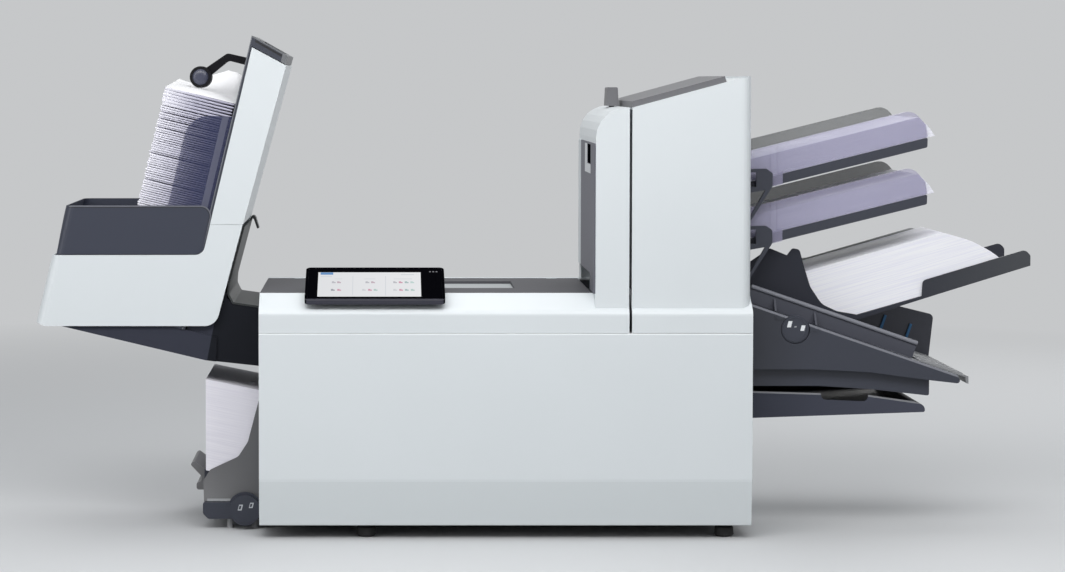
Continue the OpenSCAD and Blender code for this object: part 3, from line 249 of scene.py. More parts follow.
metals = {  # marks: noise of the bump, sheen: noise of the roughness
    "steel": {"colour": (0.5, 0.51, 0.53), "roughness": 0.38, "metallic": 1.0,
              "marks": (60, 2, (1, 1, 12)), "strength": 0.2, "depth": 0.0001,
              "sheen": (25, 3, (1, 1, 8)), "swing": 0.2, "least": 0.28},
    "dark_steel": {"colour": (0.06, 0.065, 0.07), "roughness": 0.5, "metallic": 0.3,
                   "marks": (900, 1), "strength": 0.5, "depth": 0.00008},
    "motor_metal": {"colour": (0.3, 0.31, 0.33), "roughness": 0.45, "metallic": 1.0,
                    "marks": (500, 1), "strength": 0.4, "depth": 0.0001,
                    "sheen": (40, 3), "swing": 0.25, "least": 0.3},
}
for name, metal in metals.items():
    finish = Finish(name, metal["colour"], metal["roughness"], metal["metallic"])
    finish.bump(finish.noise(*metal["marks"]), metal["strength"], metal["depth"])
    if "sheen" in metal:
        finish.feed("Roughness",
                    finish.noise(*metal["sheen"]) * metal["swing"] + metal["least"])
    finishes[name] = finish

# Clear guides: a smoky tint over the envelopes, a paler one at the document trays. Over the
# envelopes the guide grows more see-through towards its left edge, and carries a strip of
# painted light near the column.
clearGuides = {"smoke": (0.046, 0.054, 0.135), "paintedLightStrip": (0.12, 0.125, 0.185),
               "pale": (0.46, 0.44, 0.61), "far": (0.20, 0.205, 0.20),
               "edgeAlpha": 0.25, "smokeAlpha": 0.46, "paintedLightAlpha": 0.82, "paleAlpha": 0.4,
               "farAlpha": 0.62, "edge": 45.5, "middle": 84.0, "paintedLightFrom": 95.5,
               "paintedLightTo": 105.5, "stackerLeftOf": -380.0, "farBehind": 0.0,
               "roughness": 0.16, "sheen": (30, 2), "swing": 0.1, "least": 0.11}
finish = Finish("smoke_clear", clearGuides["pale"], clearGuides["roughness"])
left = finish.axis("X") < clearGuides["stackerLeftOf"]
far = finish.axis("Y") > clearGuides["farBehind"]
along, height = finish.slope(*leanOrigin, -slopes["lean"])
# a strip of painted light near the column: paler and more opaque
paintedLightStrip = left * along.within(clearGuides["paintedLightFrom"], clearGuides["paintedLightTo"])
edge = left * (1.0 - along.rising(clearGuides["edge"], clearGuides["middle"]))
tone = finish.blendColours(far, clearGuides["pale"], clearGuides["far"])
tone = finish.blendColours(left, tone, clearGuides["smoke"])
finish.feed("Base Color", finish.blendColours(paintedLightStrip, tone, clearGuides["paintedLightStrip"]))
finish.feed("Alpha", left * (clearGuides["smokeAlpha"] - clearGuides["paleAlpha"])
            + edge * (clearGuides["edgeAlpha"] - clearGuides["smokeAlpha"])
            + paintedLightStrip * (clearGuides["paintedLightAlpha"] - clearGuides["smokeAlpha"])
            + far * (clearGuides["farAlpha"] - clearGuides["paleAlpha"])
            + clearGuides["paleAlpha"])
finish.feed("Roughness", finish.noise(*clearGuides["sheen"]) * clearGuides["swing"]
            + clearGuides["least"])
finishes["smoke_clear"] = finish

# Paper seen at the side of a pile shows its sheets as fine lines
paperPiles = {  # slope of the sheets, colour, shade between the sheets, pitch of the lines
    "paper": (slopes["tray"], (0.90, 0.90, 0.96), (0.72, 0.72, 0.81), 0.9),
    "hcf_paper": (slopes["hcf"], (0.97, 0.97, 1.0), (0.88, 0.88, 0.96), 1.4),
    "insert_paper": (-slopes["insert"], (0.84, 0.82, 0.88), (0.78, 0.76, 0.83), 1.3),
}
paperLook = {"roughness": 0.65, "line": (0.34, 0.62), "sheen": (800, 1), "swing": 0.1,
             "least": 0.6, "strength": 0.35, "depth": 0.0002}
for name, (degrees, colour, shade, pitch) in paperPiles.items():
    finish = Finish(name, colour, paperLook["roughness"])
    line = finish.layers(finish.slope(0, 0, degrees)[1], pitch)
    finish.feed("Base Color",
                finish.blendColours(line.rising(*paperLook["line"]), shade, colour))
    finish.feed("Roughness",
                finish.noise(*paperLook["sheen"]) * paperLook["swing"] + paperLook["least"])
    finish.bump(line, paperLook["strength"], paperLook["depth"])
    finishes[name] = finish

# The side of the pile is whitest at its left ends; painted shade darkens it towards the
# column, and painted shade lines between the layers grow darker there too
pileTonesAndShade = {"left": (0.90, 0.89, 0.95), "right": (0.50, 0.49, 0.60),
             "line": (0.20, 0.195, 0.27), "fade": (-8.0, 52.0), "pitch": 2.3,
             "lineFade": (0.5, 0.7), "lineShadeGrows": (0.0, 70.0), "lineSwing": 0.5,
             "lineLeast": 0.1, "roughness": 0.62, "topRoughness": 0.6,
             "topTones": ((0.93, 0.93, 0.95), (0.97, 0.97, 0.98)), "topPatches": (30, 2),
             "dents": (300, 3), "topDents": (200, 3), "strength": 0.3, "depth": 0.0002}
finish = Finish("envelope_paper", pileTonesAndShade["left"], pileTonesAndShade["roughness"])
along, height = finish.slope(*leanOrigin, -slopes["lean"])
# painted shade: darker from the left ends towards the column
tone = finish.blendColours(along.rising(*pileTonesAndShade["fade"]), pileTonesAndShade["left"],
                           pileTonesAndShade["right"])
# painted shade lines between the layers, deeper towards the column
line = finish.layers(height, pileTonesAndShade["pitch"]).rising(*pileTonesAndShade["lineFade"])
depth = along.rising(*pileTonesAndShade["lineShadeGrows"]) * pileTonesAndShade["lineSwing"] + pileTonesAndShade["lineLeast"]
finish.feed("Base Color", finish.blendColours(line * depth, tone, pileTonesAndShade["line"]))
finish.bump(finish.noise(*pileTonesAndShade["dents"]), pileTonesAndShade["strength"], pileTonesAndShade["depth"])
finishes["envelope_paper"] = finish
finish = Finish("envelope_top_paper", pileTonesAndShade["left"], pileTonesAndShade["topRoughness"])
finish.feed("Base Color", finish.blendColours(finish.noise(*pileTonesAndShade["topPatches"]),
                                              *pileTonesAndShade["topTones"]))
finish.bump(finish.noise(*pileTonesAndShade["topDents"]), pileTonesAndShade["strength"], pileTonesAndShade["depth"])
finishes["envelope_top_paper"] = finish

# The lit screen: plain boxes and symbols on white
ui = {
    "left": -283.0, "right": -127.0, "low": 8.6, "high": 88.4,
    "page": ((0.86, 0.87, 0.89), (0.92, 0.93, 0.95)), "line": (0.74, 0.77, 0.81),
    "tab": (-279.6, -260.3, 80.4, 88.0, (0.16, 0.33, 0.62)),
    "heads": [(-279, -262, 73, 75.4), (-258, -246, 65.5, 67.5), (-213, -196, 65.5, 67.5),
              (-168, -140, 65.5, 67.5), (-157, -137, 79.5, 82)],
    "rules": [(-230.6, -229.6, 12, 76), (-181, -180, 12, 76)],
    "rowTops": (58.5, 33.5), "iconHeight": 6.2, "iconWidth": 5.8, "iconCut": (3.6, 2.2),
    "icons": [[(-259, "grey"), (-251, "plum"), (-208, "grey"), (-199.5, "plum"),
               (-166, "grey"), (-157.5, "rose"), (-148.5, "teal"), (-140, "mint")],
              [(-260, "dark"), (-250.5, "rose"), (-213, "mist"), (-204, "rose"),
               (-195.5, "sage"), (-166, "mist"), (-157, "rose"), (-148.5, "teal"),
               (-139.5, "sage")]],
    "colours": {"grey": (0.58, 0.58, 0.62), "plum": (0.62, 0.5, 0.56),
                "rose": (0.72, 0.4, 0.5), "teal": (0.45, 0.58, 0.58),
                "mint": (0.6, 0.76, 0.73), "dark": (0.4, 0.41, 0.45),
                "mist": (0.72, 0.74, 0.77), "sage": (0.52, 0.68, 0.64)},
    "lights": [(-112.5, 90.5), (-107.5, 90.5), (-102.5, 90.5)], "lightHalf": (1.3, 1.6),
    "lightColour": (0.25, 0.25, 0.27), "glass": (0.002, 0.002, 0.003), "glow": 0.86,
    "roughness": 0.2,
}
finish = Finish("screen_glass", ui["glass"], ui["roughness"])
finish.constant("Specular IOR Level", 0.0)
finish.constant("Emission Strength", ui["glow"])
across = finish.axis("X")
up = finish.slope(*screenOrigin, slopes["screen"], "Y")[0]


def patch(left, right, low, high):
    return across.within(left, right) * up.within(low, high)


picture = finish.blendColours(across.rising(ui["left"], ui["right"]), *ui["page"])
for box in ui["heads"] + ui["rules"]:
    picture = finish.blendColours(patch(*box), picture, ui["line"])
half = ui["iconWidth"] / 2
cutLeft, cutDown = ui["iconCut"]
for top, icons in zip(ui["rowTops"], ui["icons"]):
    for x, colour in icons:
        body = patch(x - half, x + half, top - ui["iconHeight"], top)
        cut = patch(x - half + cutLeft, x + half, top - cutDown, top)
        picture = finish.blendColours(body * (1.0 - cut), picture, ui["colours"][colour])
picture = finish.blendColours(patch(*ui["tab"][:4]), picture, ui["tab"][4])
lit = patch(ui["left"], ui["right"], ui["low"], ui["high"])
picture = finish.blendColours(lit, (0.0, 0.0, 0.0), picture)
wide, tall = ui["lightHalf"]
for x, z in ui["lights"]:
    picture = finish.blendColours(patch(x - wide, x + wide, z - tall, z + tall), picture,
                                  ui["lightColour"])
finish.feed("Emission Color", picture)
finishes["screen_glass"] = finish

# Finishes of single pieces. A tint takes a finish and its tone, and gives the new tone.
# The shallow tray in the deck lid has a pale floor
lidTray = {"floor": (365.6, 366.6), "across": (-259.8, 19.8), "deep": (-79.8, 49.8),
           "colour": (0.43, 0.45, 0.46)}


def deckTint(finish, tone):
    floor = finish.axis("Z").within(*lidTray["floor"])
    inside = finish.axis("X").within(*lidTray["across"])
    inside = inside * finish.axis("Y").within(*lidTray["deep"])
    return finish.blendColours(floor * inside, tone, lidTray["colour"])


# The far plate of the high capacity feeder is a pale clear plastic in its upper part,
# and the near plate is paler towards its free end
feederPlates = {"origin": (550.6, 328.4), "clearAbove": 29.0, "clearLeftOf": 694.0,
                "clear": (0.55, 0.56, 0.555), "fade": (600.0, 800.0),
                "end": (0.074, 0.078, 0.086)}


def farPlateTint(finish, tone):
    height = finish.slope(*feederPlates["origin"], slopes["hcf"])[1]
    upper = (height > feederPlates["clearAbove"]) * (
        finish.axis("X") < feederPlates["clearLeftOf"])
    return finish.blendColours(upper, tone, feederPlates["clear"])


def nearPlateTint(finish, tone):
    return finish.blendColours(finish.axis("X").rising(*feederPlates["fade"]), tone,
                               feederPlates["end"])


# The door's upper edge has a painted highlight as one bright line, and its foot is a little
# darker as painted shade
door = {"edge": 310.9, "edgeHighlight": (0.95, 0.97, 0.98), "foot": 88.0,
        "footShade": (0.685, 0.725, 0.74)}


def doorHighlightAndShade(finish, tone):
    # painted highlight on the upper edge, painted shade at the foot
    tone = finish.blendColours(finish.axis("Z") > door["edge"], tone, door["edgeHighlight"])
    return finish.blendColours(finish.axis("Z") < door["foot"], tone, door["footShade"])


# The chassis is darkest where it meets the cabinet, as painted shade
chassis = {"neck": (-444.7, 314.7), "lean": 0.194, "colour": (0.040, 0.043, 0.060),
           "neckShade": (0.009, 0.010, 0.014)}


def chassisTint(finish, tone):
    x, z = chassis["neck"]
    neck = finish.axis("X") - (finish.axis("Z") - z) * chassis["lean"] > x
    # painted shade over the neck
    return finish.blendColours(neck, chassis["colour"], chassis["neckShade"])


# The tub's front panel has a painted highlight as a pale rim that follows its round corner,
# and a dark line in it; both fade out downwards
tubRim = {"top": 500.0, "right": -443.4, "radius": 16.0, "normal": (0.9725, -0.2337),
          "front": -120.6, "fade": (430.0, 475.0),
          "lines": ((3.4, (0.012, 0.013, 0.018)), (2.0, (0.13, 0.135, 0.16)))}


def tubTint(finish, tone):
    x, z = finish.axis("X") - tubRim["right"], finish.axis("Z") - tubRim["top"]
    sideX, sideZ = tubRim["normal"]
    radius = tubRim["radius"]
    fromTop, fromSide = z + radius, x * sideX + z * sideZ + radius
    up, out = fromTop - fromSide * sideZ, fromSide - fromTop * sideZ
    length = (up * up + out * out + up * out * (2 * sideZ)).root() / (1 - sideZ * sideZ)
    corner = (up > 0.0) * (out > 0.0)
    shown = (finish.axis("Y") < tubRim["front"]) * finish.axis("Z").rising(*tubRim["fade"])
    # a dark band 3.4 mm in from the edge, then a painted highlight over its outer 2 mm
    for inset, colour in tubRim["lines"]:
        rim = (fromTop > radius - inset).most(fromSide > radius - inset).most(
            corner * (length > radius - inset))
        tone = finish.blendColours(rim * shown, tone, colour)
    return tone


# The column's frame has a painted highlight along its left edge and along the rim and end of
# its cap, and painted shade in the groove of its cap
capLightAndShade = {"left": 110.8, "top": 459.0, "fall": 0.287, "edge": 112.3, "groove": (3.0, 6.4),
           "grooveAcross": (118.0, 163.0), "rim": 1.9, "endFrom": 163.5, "endAbove": 400.0,
           "edgeHighlight": (0.16, 0.165, 0.18), "grooveShade": (0.004, 0.004, 0.006),
           "rimHighlight": (0.15, 0.155, 0.165)}


def columnTint(finish, tone):
    along, height = finish.slope(*leanOrigin, -slopes["lean"])
    drop = (along - capLightAndShade["left"]) * -capLightAndShade["fall"] - height + capLightAndShade["top"]
    # painted highlight on the left edge, painted shade in the groove, painted highlight on the
    # cap's rim and end
    tone = finish.blendColours(along < capLightAndShade["edge"], tone, capLightAndShade["edgeHighlight"])
    groove = drop.within(*capLightAndShade["groove"]) * along.within(*capLightAndShade["grooveAcross"])
    tone = finish.blendColours(groove, tone, capLightAndShade["grooveShade"])
    end = (along > capLightAndShade["endFrom"]) * (height > capLightAndShade["endAbove"])
    return finish.blendColours((drop < capLightAndShade["rim"]).most(end), tone,
                               capLightAndShade["rimHighlight"])


# The tower's white wall shows behind the liner
liner = {"wallBehind": 58.0, "wallColour": (0.72, 0.76, 0.78)}


def linerTint(finish, tone):
    return finish.blendColours(finish.axis("Y") > liner["wallBehind"], tone,
                               liner["wallColour"])


# The screen's face is black; painted light makes its front face paler, and a painted highlight
# lines its top edges
screenEdges = {"face": 8.9, "faceColour": (0.002, 0.002, 0.003), "front": 1.5,
               "frontLight": (0.075, 0.075, 0.095), "topEdge": (7.4, 8.9),
               "topEdgeHighlight": (0.12, 0.12, 0.135)}


def screenTint(finish, tone):
    rise, height = finish.slope(*screenOrigin, slopes["screen"], "Y")
    tone = finish.blendColours(height > screenEdges["face"], tone,
                               screenEdges["faceColour"])
    # painted light on the front face, painted highlight along the top edges
    tone = finish.blendColours(rise < screenEdges["front"], tone,
                               screenEdges["frontLight"])
    return finish.blendColours(height.within(*screenEdges["topEdge"]), tone,
                               screenEdges["topEdgeHighlight"])


# The near insert guide is paler towards its lower left, with a pale tab below its edge
insertGuide = {"leftFade": (385.0, 450.0), "lowFade": (-110.0, -50.0),
               "pale": (0.19, 0.19, 0.195), "tab": (-456.0, -420.0), "tabBelow": 46.0,
               "tabColour": (0.40, 0.41, 0.42)}


def insertGuideTint(finish, tone):
    x, z = finish.axis("X"), finish.axis("Z")
    light = (x * -1.0).rising(*insertGuide["leftFade"])
    light = light * (z * -1.0).rising(*insertGuide["lowFade"])
    tone = finish.blendColours(light, tone, insertGuide["pale"])
    tab = x.within(*insertGuide["tab"]) * (z < insertGuide["tabBelow"])
    return finish.blendColours(tab, tone, insertGuide["tabColour"])


# The hopper's near wall has a painted highlight as a pale rim along its top, and is darker
# near the cabinet
hopper = {"fade": (0.0, 130.0), "dark": (0.020, 0.022, 0.030), "rim": (-3.2, 0.4),
          "front": -161.0, "rimHighlight": (0.215, 0.22, 0.25), "fenceTop": 21.5,
          "fenceTopHighlight": (0.2, 0.205, 0.235), "stopsFrom": 118.3,
          "stopColour": (0.03, 0.16, 0.36)}


def hopperTint(finish, tone):
    along, height = finish.slope(*hopperOrigin, -slopes["hopper"])
    tone = finish.blendColours(along.rising(*hopper["fade"]), hopper["dark"], tone)
    # painted highlight along the top rim
    rim = height.within(*hopper["rim"]) * (finish.axis("Y") < hopper["front"])
    return finish.blendColours(rim, tone, hopper["rimHighlight"])


# The hopper's near fence has a painted highlight on its round top edge
def fenceTint(finish, tone):
    height = finish.slope(*hopperOrigin, -slopes["hopper"])[1]
    return finish.blendColours(height > hopper["fenceTop"], tone, hopper["fenceTopHighlight"])


# The hopper's far guide has blue stops
def farGuideTint(finish, tone):
    return finish.blendColours(finish.axis("Y") < hopper["stopsFrom"], tone,
                               hopper["stopColour"])


# The divert tray has a painted highlight as a pale rim in two slopes and painted shade inside,
# and it is darker towards the cabinet
divert = {"first": (371.3, 218.0, -1.74), "second": (552.0, 212.5, -8.1), "rim": -2.4,
          "front": -146.0, "inside": -140.0, "fade": (360.0, 620.0),
          "near": (0.038, 0.042, 0.059), "far": (0.064, 0.068, 0.092),
          "insideShade": (0.010, 0.011, 0.015), "rimHighlight": (0.24, 0.245, 0.26)}


def divertTint(finish, tone):
    x, y = finish.axis("X"), finish.axis("Y")
    tone = finish.blendColours(x.rising(*divert["fade"]), divert["near"], divert["far"])
    # painted shade inside the tray, then a painted highlight along the rim
    tone = finish.blendColours(y > divert["inside"], tone, divert["insideShade"])
    first = finish.slope(*divert["first"])[1] > divert["rim"]
    second = finish.slope(*divert["second"])[1] > divert["rim"]
    rim = first.most(second * (x > divert["second"][0]))
    return finish.blendColours(rim * (y < divert["front"]), tone, divert["rimHighlight"])


# The two dials carry light symbols: left, right, low, high, colour
dials = {
    "slant": 0.25, "insertFront": -125.8, "hopperFront": -164.1,
    "insert": [(-408.0, -402.0, 30.5, 39.5, (0.55, 0.57, 0.60)),
               (-406.6, -403.4, 32.3, 37.7, (0.04, 0.045, 0.06)),
               (-390.8, -385.0, 34.3, 42.5, (0.55, 0.57, 0.60)),
               (-389.4, -386.4, 36.0, 40.8, (0.04, 0.045, 0.06))],
    "hopper": [(429.2, 435.2, 317.0, 326.5, (0.82, 0.84, 0.86)),
               (440.2, 443.6, 316.8, 318.8, (0.35, 0.36, 0.38)),
               (449.4, 455.4, 311.6, 320.0, (0.82, 0.84, 0.86))],
}


def dialTint(boxes, front):
    def tint(finish, tone):
        x, z, face = finish.axis("X"), finish.axis("Z"), finish.axis("Y") < front
        for left, right, low, high, colour in boxes:
            slanted = x - (z - low) * dials["slant"]
            mark = slanted.within(left, right) * z.within(low, high)
            tone = finish.blendColours(mark * face, tone, colour)
        return tone
    return tint


# The insert feeder has pale feet and grey lugs
insertBase = {"feetBelow": 15.8, "feet": (0.46, 0.46, 0.47), "lugsLeftOf": -463.5,
              "lugs": (0.16, 0.16, 0.165)}


def insertTint(finish, tone):
    tone = finish.blendColours(finish.axis("Z") < insertBase["feetBelow"], tone,
                               insertBase["feet"])
    return finish.blendColours(finish.axis("X") < insertBase["lugsLeftOf"], tone,
                               insertBase["lugs"])


# The roller has a dark tyre round its hub
tyre = {"middle": (-471.2, 697.0), "from": 12.2, "colour": (0.012, 0.012, 0.014)}


def rollerTint(finish, tone):
    x, z = finish.axis("X") - tyre["middle"][0], finish.axis("Z") - tyre["middle"][1]
    return finish.blendColours((x * x + z * z).root() > tyre["from"], tone, tyre["colour"])


singles = {  # piece: the plastic it starts from, and its tint
    "front_door": ("white_shell", doorHighlightAndShade), "stacker_tub": ("tub_slate", tubTint),
    "column_frame": ("slate", columnTint), "tower_liner": ("liner_grey", linerTint),
    "screen_body": ("dark_trim", screenTint), "stacker_chassis": ("slate", chassisTint),
    "hcf_guide_near": ("feeder_slate", nearPlateTint),
    "hcf_guide_far": ("feeder_slate", farPlateTint),
    "insert_guide_near": ("insert_grey", insertGuideTint),
    "hopper_body": ("slate", hopperTint), "divert_tray": ("slate", divertTint),
    "deck_lid": ("deck_grey", deckTint), "hopper_fence": ("fence_slate", fenceTint),
    "hopper_far_guide": ("fence_slate", farGuideTint),
    "hopper_dial": ("slate", dialTint(dials["hopper"], dials["hopperFront"])),
    "insert_dial": ("slate", dialTint(dials["insert"], dials["insertFront"])),
    "insert_base": ("slate", insertTint), "stacker_roller": ("slate", rollerTint),
}
for name, (base, tint) in singles.items():
    moulding(name + "_finish", tint, base)

slotOf = {s["node"]: s["material_slot"] for s in frame["record"]["subparts"]}
special = {"hcf_sheets": "hcf_paper", "insert_pile_sheets": "insert_paper",
           "stacker_arm": "arm_black", "chute": "chute_grey",
           "hopper_extension": "pale_grey", "insert_guide_far": "insert_grey",
           "sight_window": "window_black"}
special.update({name: name + "_finish" for name in singles})
for name, node in nodes.items():
    node.data.materials.clear()
    node.data.materials.append(finishes[special.get(name, slotOf[name])].material)
print("stage: finishes made")


# Modelling helpers. A piece starts as a primitive and is shaped by edit operators.
# Lengths are given in millimetres.
def start(kind, name, centre, **settings):
    bpy.ops.object.select_all(action="DESELECT")
    make = getattr(bpy.ops.mesh, "primitive_" + kind + "_add")
    make(location=[c / 1000 for c in centre], **settings)
    piece = bpy.context.object
    piece.name = piece.data.name = name
    bpy.ops.object.transform_apply(location=True, rotation=True, scale=True)
    return piece


def startBox(name, low, high):
    centre = [(a + b) / 2 for a, b in zip(low, high)]
    size = [(b - a) / 1000 for a, b in zip(low, high)]
    return start("cube", name, centre, size=1, scale=size)


# selects what passes a test: a face by its centre and normal, an edge by its two ends
def pick(piece, kind, test):
    bpy.ops.object.mode_set(mode="EDIT")
    bpy.ops.mesh.select_mode(type=kind)
    bpy.ops.mesh.select_all(action="DESELECT")
    bpy.ops.object.mode_set(mode="OBJECT")
    mesh = piece.data
    if kind == "FACE":
        for face in mesh.polygons:
            face.select = test(face.center * 1000, face.normal)
    else:
        for edge in mesh.edges:
            edge.select = test(*(mesh.vertices[i].co * 1000 for i in edge.vertices))
    bpy.ops.object.mode_set(mode="EDIT")


def extrude(step):
    bpy.ops.mesh.extrude_region_move(
        TRANSFORM_OT_translate={"value": [s / 1000 for s in step]})


def grow(scale, centre):
    bpy.ops.transform.resize(value=scale, center_override=[c / 1000 for c in centre])


def bevel(width, segments):
    bpy.ops.mesh.bevel(offset=width / 1000, segments=segments, affect="EDGES")


def everyPart(*_):
    return True


def facesUp(at, normal):
    return normal.z > 0.9


# edges that run along Y
def runsDeep(a, b):
    return abs(a.y - b.y) > 0.3


# adds a modifier and applies it
def modify(piece, kind, **settings):
    if piece.mode == "EDIT":
        bpy.ops.object.mode_set(mode="OBJECT")
    modifier = piece.modifiers.new(kind.lower(), kind)
    for key, value in settings.items():
        setattr(modifier, key, value)
    bpy.ops.object.modifier_apply(modifier=modifier.name)


# puts a piece in its place, gives it its finish and lets it ride on a body
def settle(piece, finishName, body, at=(0, 0, 0), turn=(0, 0, 0), smooth=30):
    if piece.mode == "EDIT":
        bpy.ops.object.mode_set(mode="OBJECT")
    bpy.ops.object.select_all(action="DESELECT")
    piece.select_set(True)
    bpy.context.view_layer.objects.active = piece
    piece.location = place(*at)
    piece.rotation_euler = [math.radians(t) for t in turn]
    bpy.ops.object.transform_apply(location=True, rotation=True, scale=True)
    bpy.ops.object.shade_smooth_by_angle(angle=math.radians(smooth))
    piece.data.materials.clear()
    piece.data.materials.append(finishes[finishName].material)
    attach(piece, body)


# a round piece that grows along +Z from a disc through rings of radius and height
def turned(name, rings, segments):
    radius, height = rings[0]
    piece = start("circle", name, (0, 0, height), radius=radius / 1000, vertices=segments,
                  fill_type="NGON")
    pick(piece, "FACE", everyPart)
    for nextRadius, nextHeight in rings[1:]:
        extrude((0, 0, nextHeight - height))
        factor = nextRadius / radius
        grow((factor, factor, 1), (0, 0, 0))
        radius, height = nextRadius, nextHeight
    bpy.ops.mesh.select_all(action="SELECT")
    bpy.ops.mesh.normals_make_consistent(inside=False)
    bpy.ops.object.mode_set(mode="OBJECT")
    return piece


# copies of a finished shape in several places, all with one turn, joined into one piece
def copies(source, name, places, turn=(0, 0, 0)):
    made = []
    for at in places:
        copy = source.copy()
        copy.data = source.data.copy()
        bpy.context.scene.collection.objects.link(copy)
        copy.location = [a / 1000 for a in at]
        copy.rotation_euler = [math.radians(t) for t in turn]
        made.append(copy)
    bpy.ops.object.select_all(action="DESELECT")
    for copy in made:
        copy.select_set(True)
    bpy.context.view_layer.objects.active = made[0]
    bpy.ops.object.transform_apply(location=True, rotation=True, scale=True)
    bpy.ops.object.join()
    joined = bpy.context.object
    joined.name = joined.data.name = name
    return joined


# The envelope pile: one envelope, repeated up the leaning column
envelopes = {"wide": 110.0, "long": 220.0, "thick": 2.8, "pitch": 3.43, "edge": 1.2,
             "rounding": 2, "count": 100, "loose": 6, "looseGap": 1.35, "slip": 1.1,
             "slipAcross": (-1.6, 0.5), "slipDeep": (-0.6, 0.6), "turn": 0.0035,
             "oddLayer": 72, "oddSlip": -3.4, "seed": 11, "squash": (0.68, 0.88),
             "gaps": (60, 72, 84, 88, 91), "gapSquash": 0.44, "leftFill": 0.7,
             "upperPart": 0.6, "smooth": 40}
leanAt, leanTurn = (leanOrigin[0], 0, leanOrigin[1]), (0, slopes["lean"], 0)
half, middle = envelopes["long"] / 2, envelopes["wide"] / 2
stack = startBox("envelope_stack", (0, -half, 0), (envelopes["wide"], half,
                                                   envelopes["thick"]))
pick(stack, "EDGE", everyPart)
bevel(envelopes["edge"], envelopes["rounding"])
bpy.ops.object.mode_set(mode="OBJECT")
perLayer = len(stack.data.vertices)
modify(stack, "ARRAY", count=envelopes["count"], use_relative_offset=False,
       use_constant_offset=True,
       constant_offset_displace=(0, 0, envelopes["pitch"] / 1000))
draw = random.Random(envelopes["seed"])
firstLoose = envelopes["count"] - envelopes["loose"]
for layer in range(envelopes["count"]):
    dx = draw.uniform(*envelopes["slipAcross"]) * envelopes["slip"]
    dy = draw.uniform(*envelopes["slipDeep"]) * envelopes["slip"]
    spin = draw.uniform(-1, 1) * envelopes["turn"]
    if layer == envelopes["oddLayer"]:
        dx = envelopes["oddSlip"]
    squash = draw.uniform(*envelopes["squash"])
    if layer in envelopes["gaps"]:
        squash = envelopes["gapSquash"]
    lift = max(0, layer - firstLoose + 1) * envelopes["looseGap"]
    bottom = layer * envelopes["pitch"]
    top = bottom + envelopes["thick"]
    for vertex in stack.data.vertices[layer * perLayer:(layer + 1) * perLayer]:
        x, y, z = vertex.co * 1000
        fromRight = 1 - x / envelopes["wide"]
        if layer < firstLoose:
            z = top - (top - z) * squash  # a squashed envelope keeps its upper side
        elif z > bottom + envelopes["thick"] / 2:
            z += envelopes["looseGap"] * fromRight  # loose ones open towards the column
        if z > bottom + envelopes["thick"] * envelopes["upperPart"]:
            z += envelopes["leftFill"] * fromRight  # the left ends lie closer together
        vertex.co = Vector((x + dx - y * spin, y + dy + (x - middle) * spin,
                            z + lift)) / 1000
settle(stack, "envelope_paper", "cabinet", leanAt, leanTurn, envelopes["smooth"])

# The last envelope bulges under the roller, and its flap stands up at the far side
topEnvelope = {"from": 351.2, "bulge": 8.1, "roundAcross": 0.8, "roundDeep": 0.6,
               "margin": (0.4, 0.8), "steps": (28, 56), "seed": 0.001, "thick": 0.5,
               "smooth": 50, "flapFrom": 38.0, "flapFull": 40.0, "flapCurve": (1.0, 0.7),
               "flapEdge": [(0, 364), (19, 362), (49, 381), (75, 396.5), (93, 396),
                            (110, 381)]}


def flapHeight(x):
    edge = topEnvelope["flapEdge"]
    for (x0, z0), (x1, z1) in zip(edge, edge[1:]):
        if x <= x1:
            return z0 + (z1 - z0) * (x - x0) / (x1 - x0)
    return edge[-1][1]


columns, rows = topEnvelope["steps"]
sheet = start("grid", "envelope_top", (middle, 0, 0), x_subdivisions=columns,
              y_subdivisions=rows, size=topEnvelope["seed"])
pick(sheet, "FACE", everyPart)
grow((envelopes["wide"] - topEnvelope["margin"][0],
      envelopes["long"] - topEnvelope["margin"][1], 1), (middle, 0, 0))
bpy.ops.object.mode_set(mode="OBJECT")
curve, moreCurve = topEnvelope["flapCurve"]
for vertex in sheet.data.vertices:
    x, y, _ = vertex.co * 1000
    across = min(1, max(0, x / envelopes["wide"]))
    dome = math.sin(math.pi * across) ** topEnvelope["roundAcross"]
    dome *= max(0, math.cos(math.pi * y / envelopes["long"])) ** topEnvelope["roundDeep"]
    z = topEnvelope["from"] + topEnvelope["bulge"] * dome
    over = min(1, max(0, x / topEnvelope["flapFull"]))
    begin = -half + (topEnvelope["flapFrom"] + half) * over
    flap = max(0, (y - begin) / (half - begin)) ** (curve + moreCurve * over)
    vertex.co.z = (z + (flapHeight(x) - z) * flap) / 1000
modify(sheet, "SOLIDIFY", thickness=topEnvelope["thick"] / 1000, offset=1)
settle(sheet, "envelope_top_paper", "cabinet", leanAt, leanTurn, topEnvelope["smooth"])
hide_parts("envelope_pile")
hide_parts("envelope_pile")
print("stage: envelope pile made")

# Domed caps close the two wheels of the pile's roller
rollerCap = {"rings": [(11.4, 0), (12.6, 1.0), (12.3, 2.1), (11.5, 3.1), (10.2, 3.9),
                       (8.4, 4.5), (6.2, 4.9), (3.8, 5.1), (1.5, 5.15)],
             "across": 42, "up": 377.2, "sides": {"near": (-14.6, 90), "far": (14.6, -90)},
             "segments": 40, "smooth": 50}
lean = math.radians(slopes["lean"])
x, z = rollerCap["across"], rollerCap["up"]
rollerX = leanOrigin[0] + x * math.cos(lean) + z * math.sin(lean)
rollerZ = leanOrigin[1] - x * math.sin(lean) + z * math.cos(lean)
for side, (y, turn) in rollerCap["sides"].items():
    cap = turned("roller_cap_" + side, rollerCap["rings"], rollerCap["segments"])
    settle(cap, "roller_hub", "roller", (rollerX, y, rollerZ), (turn, 0, 0),
           rollerCap["smooth"])

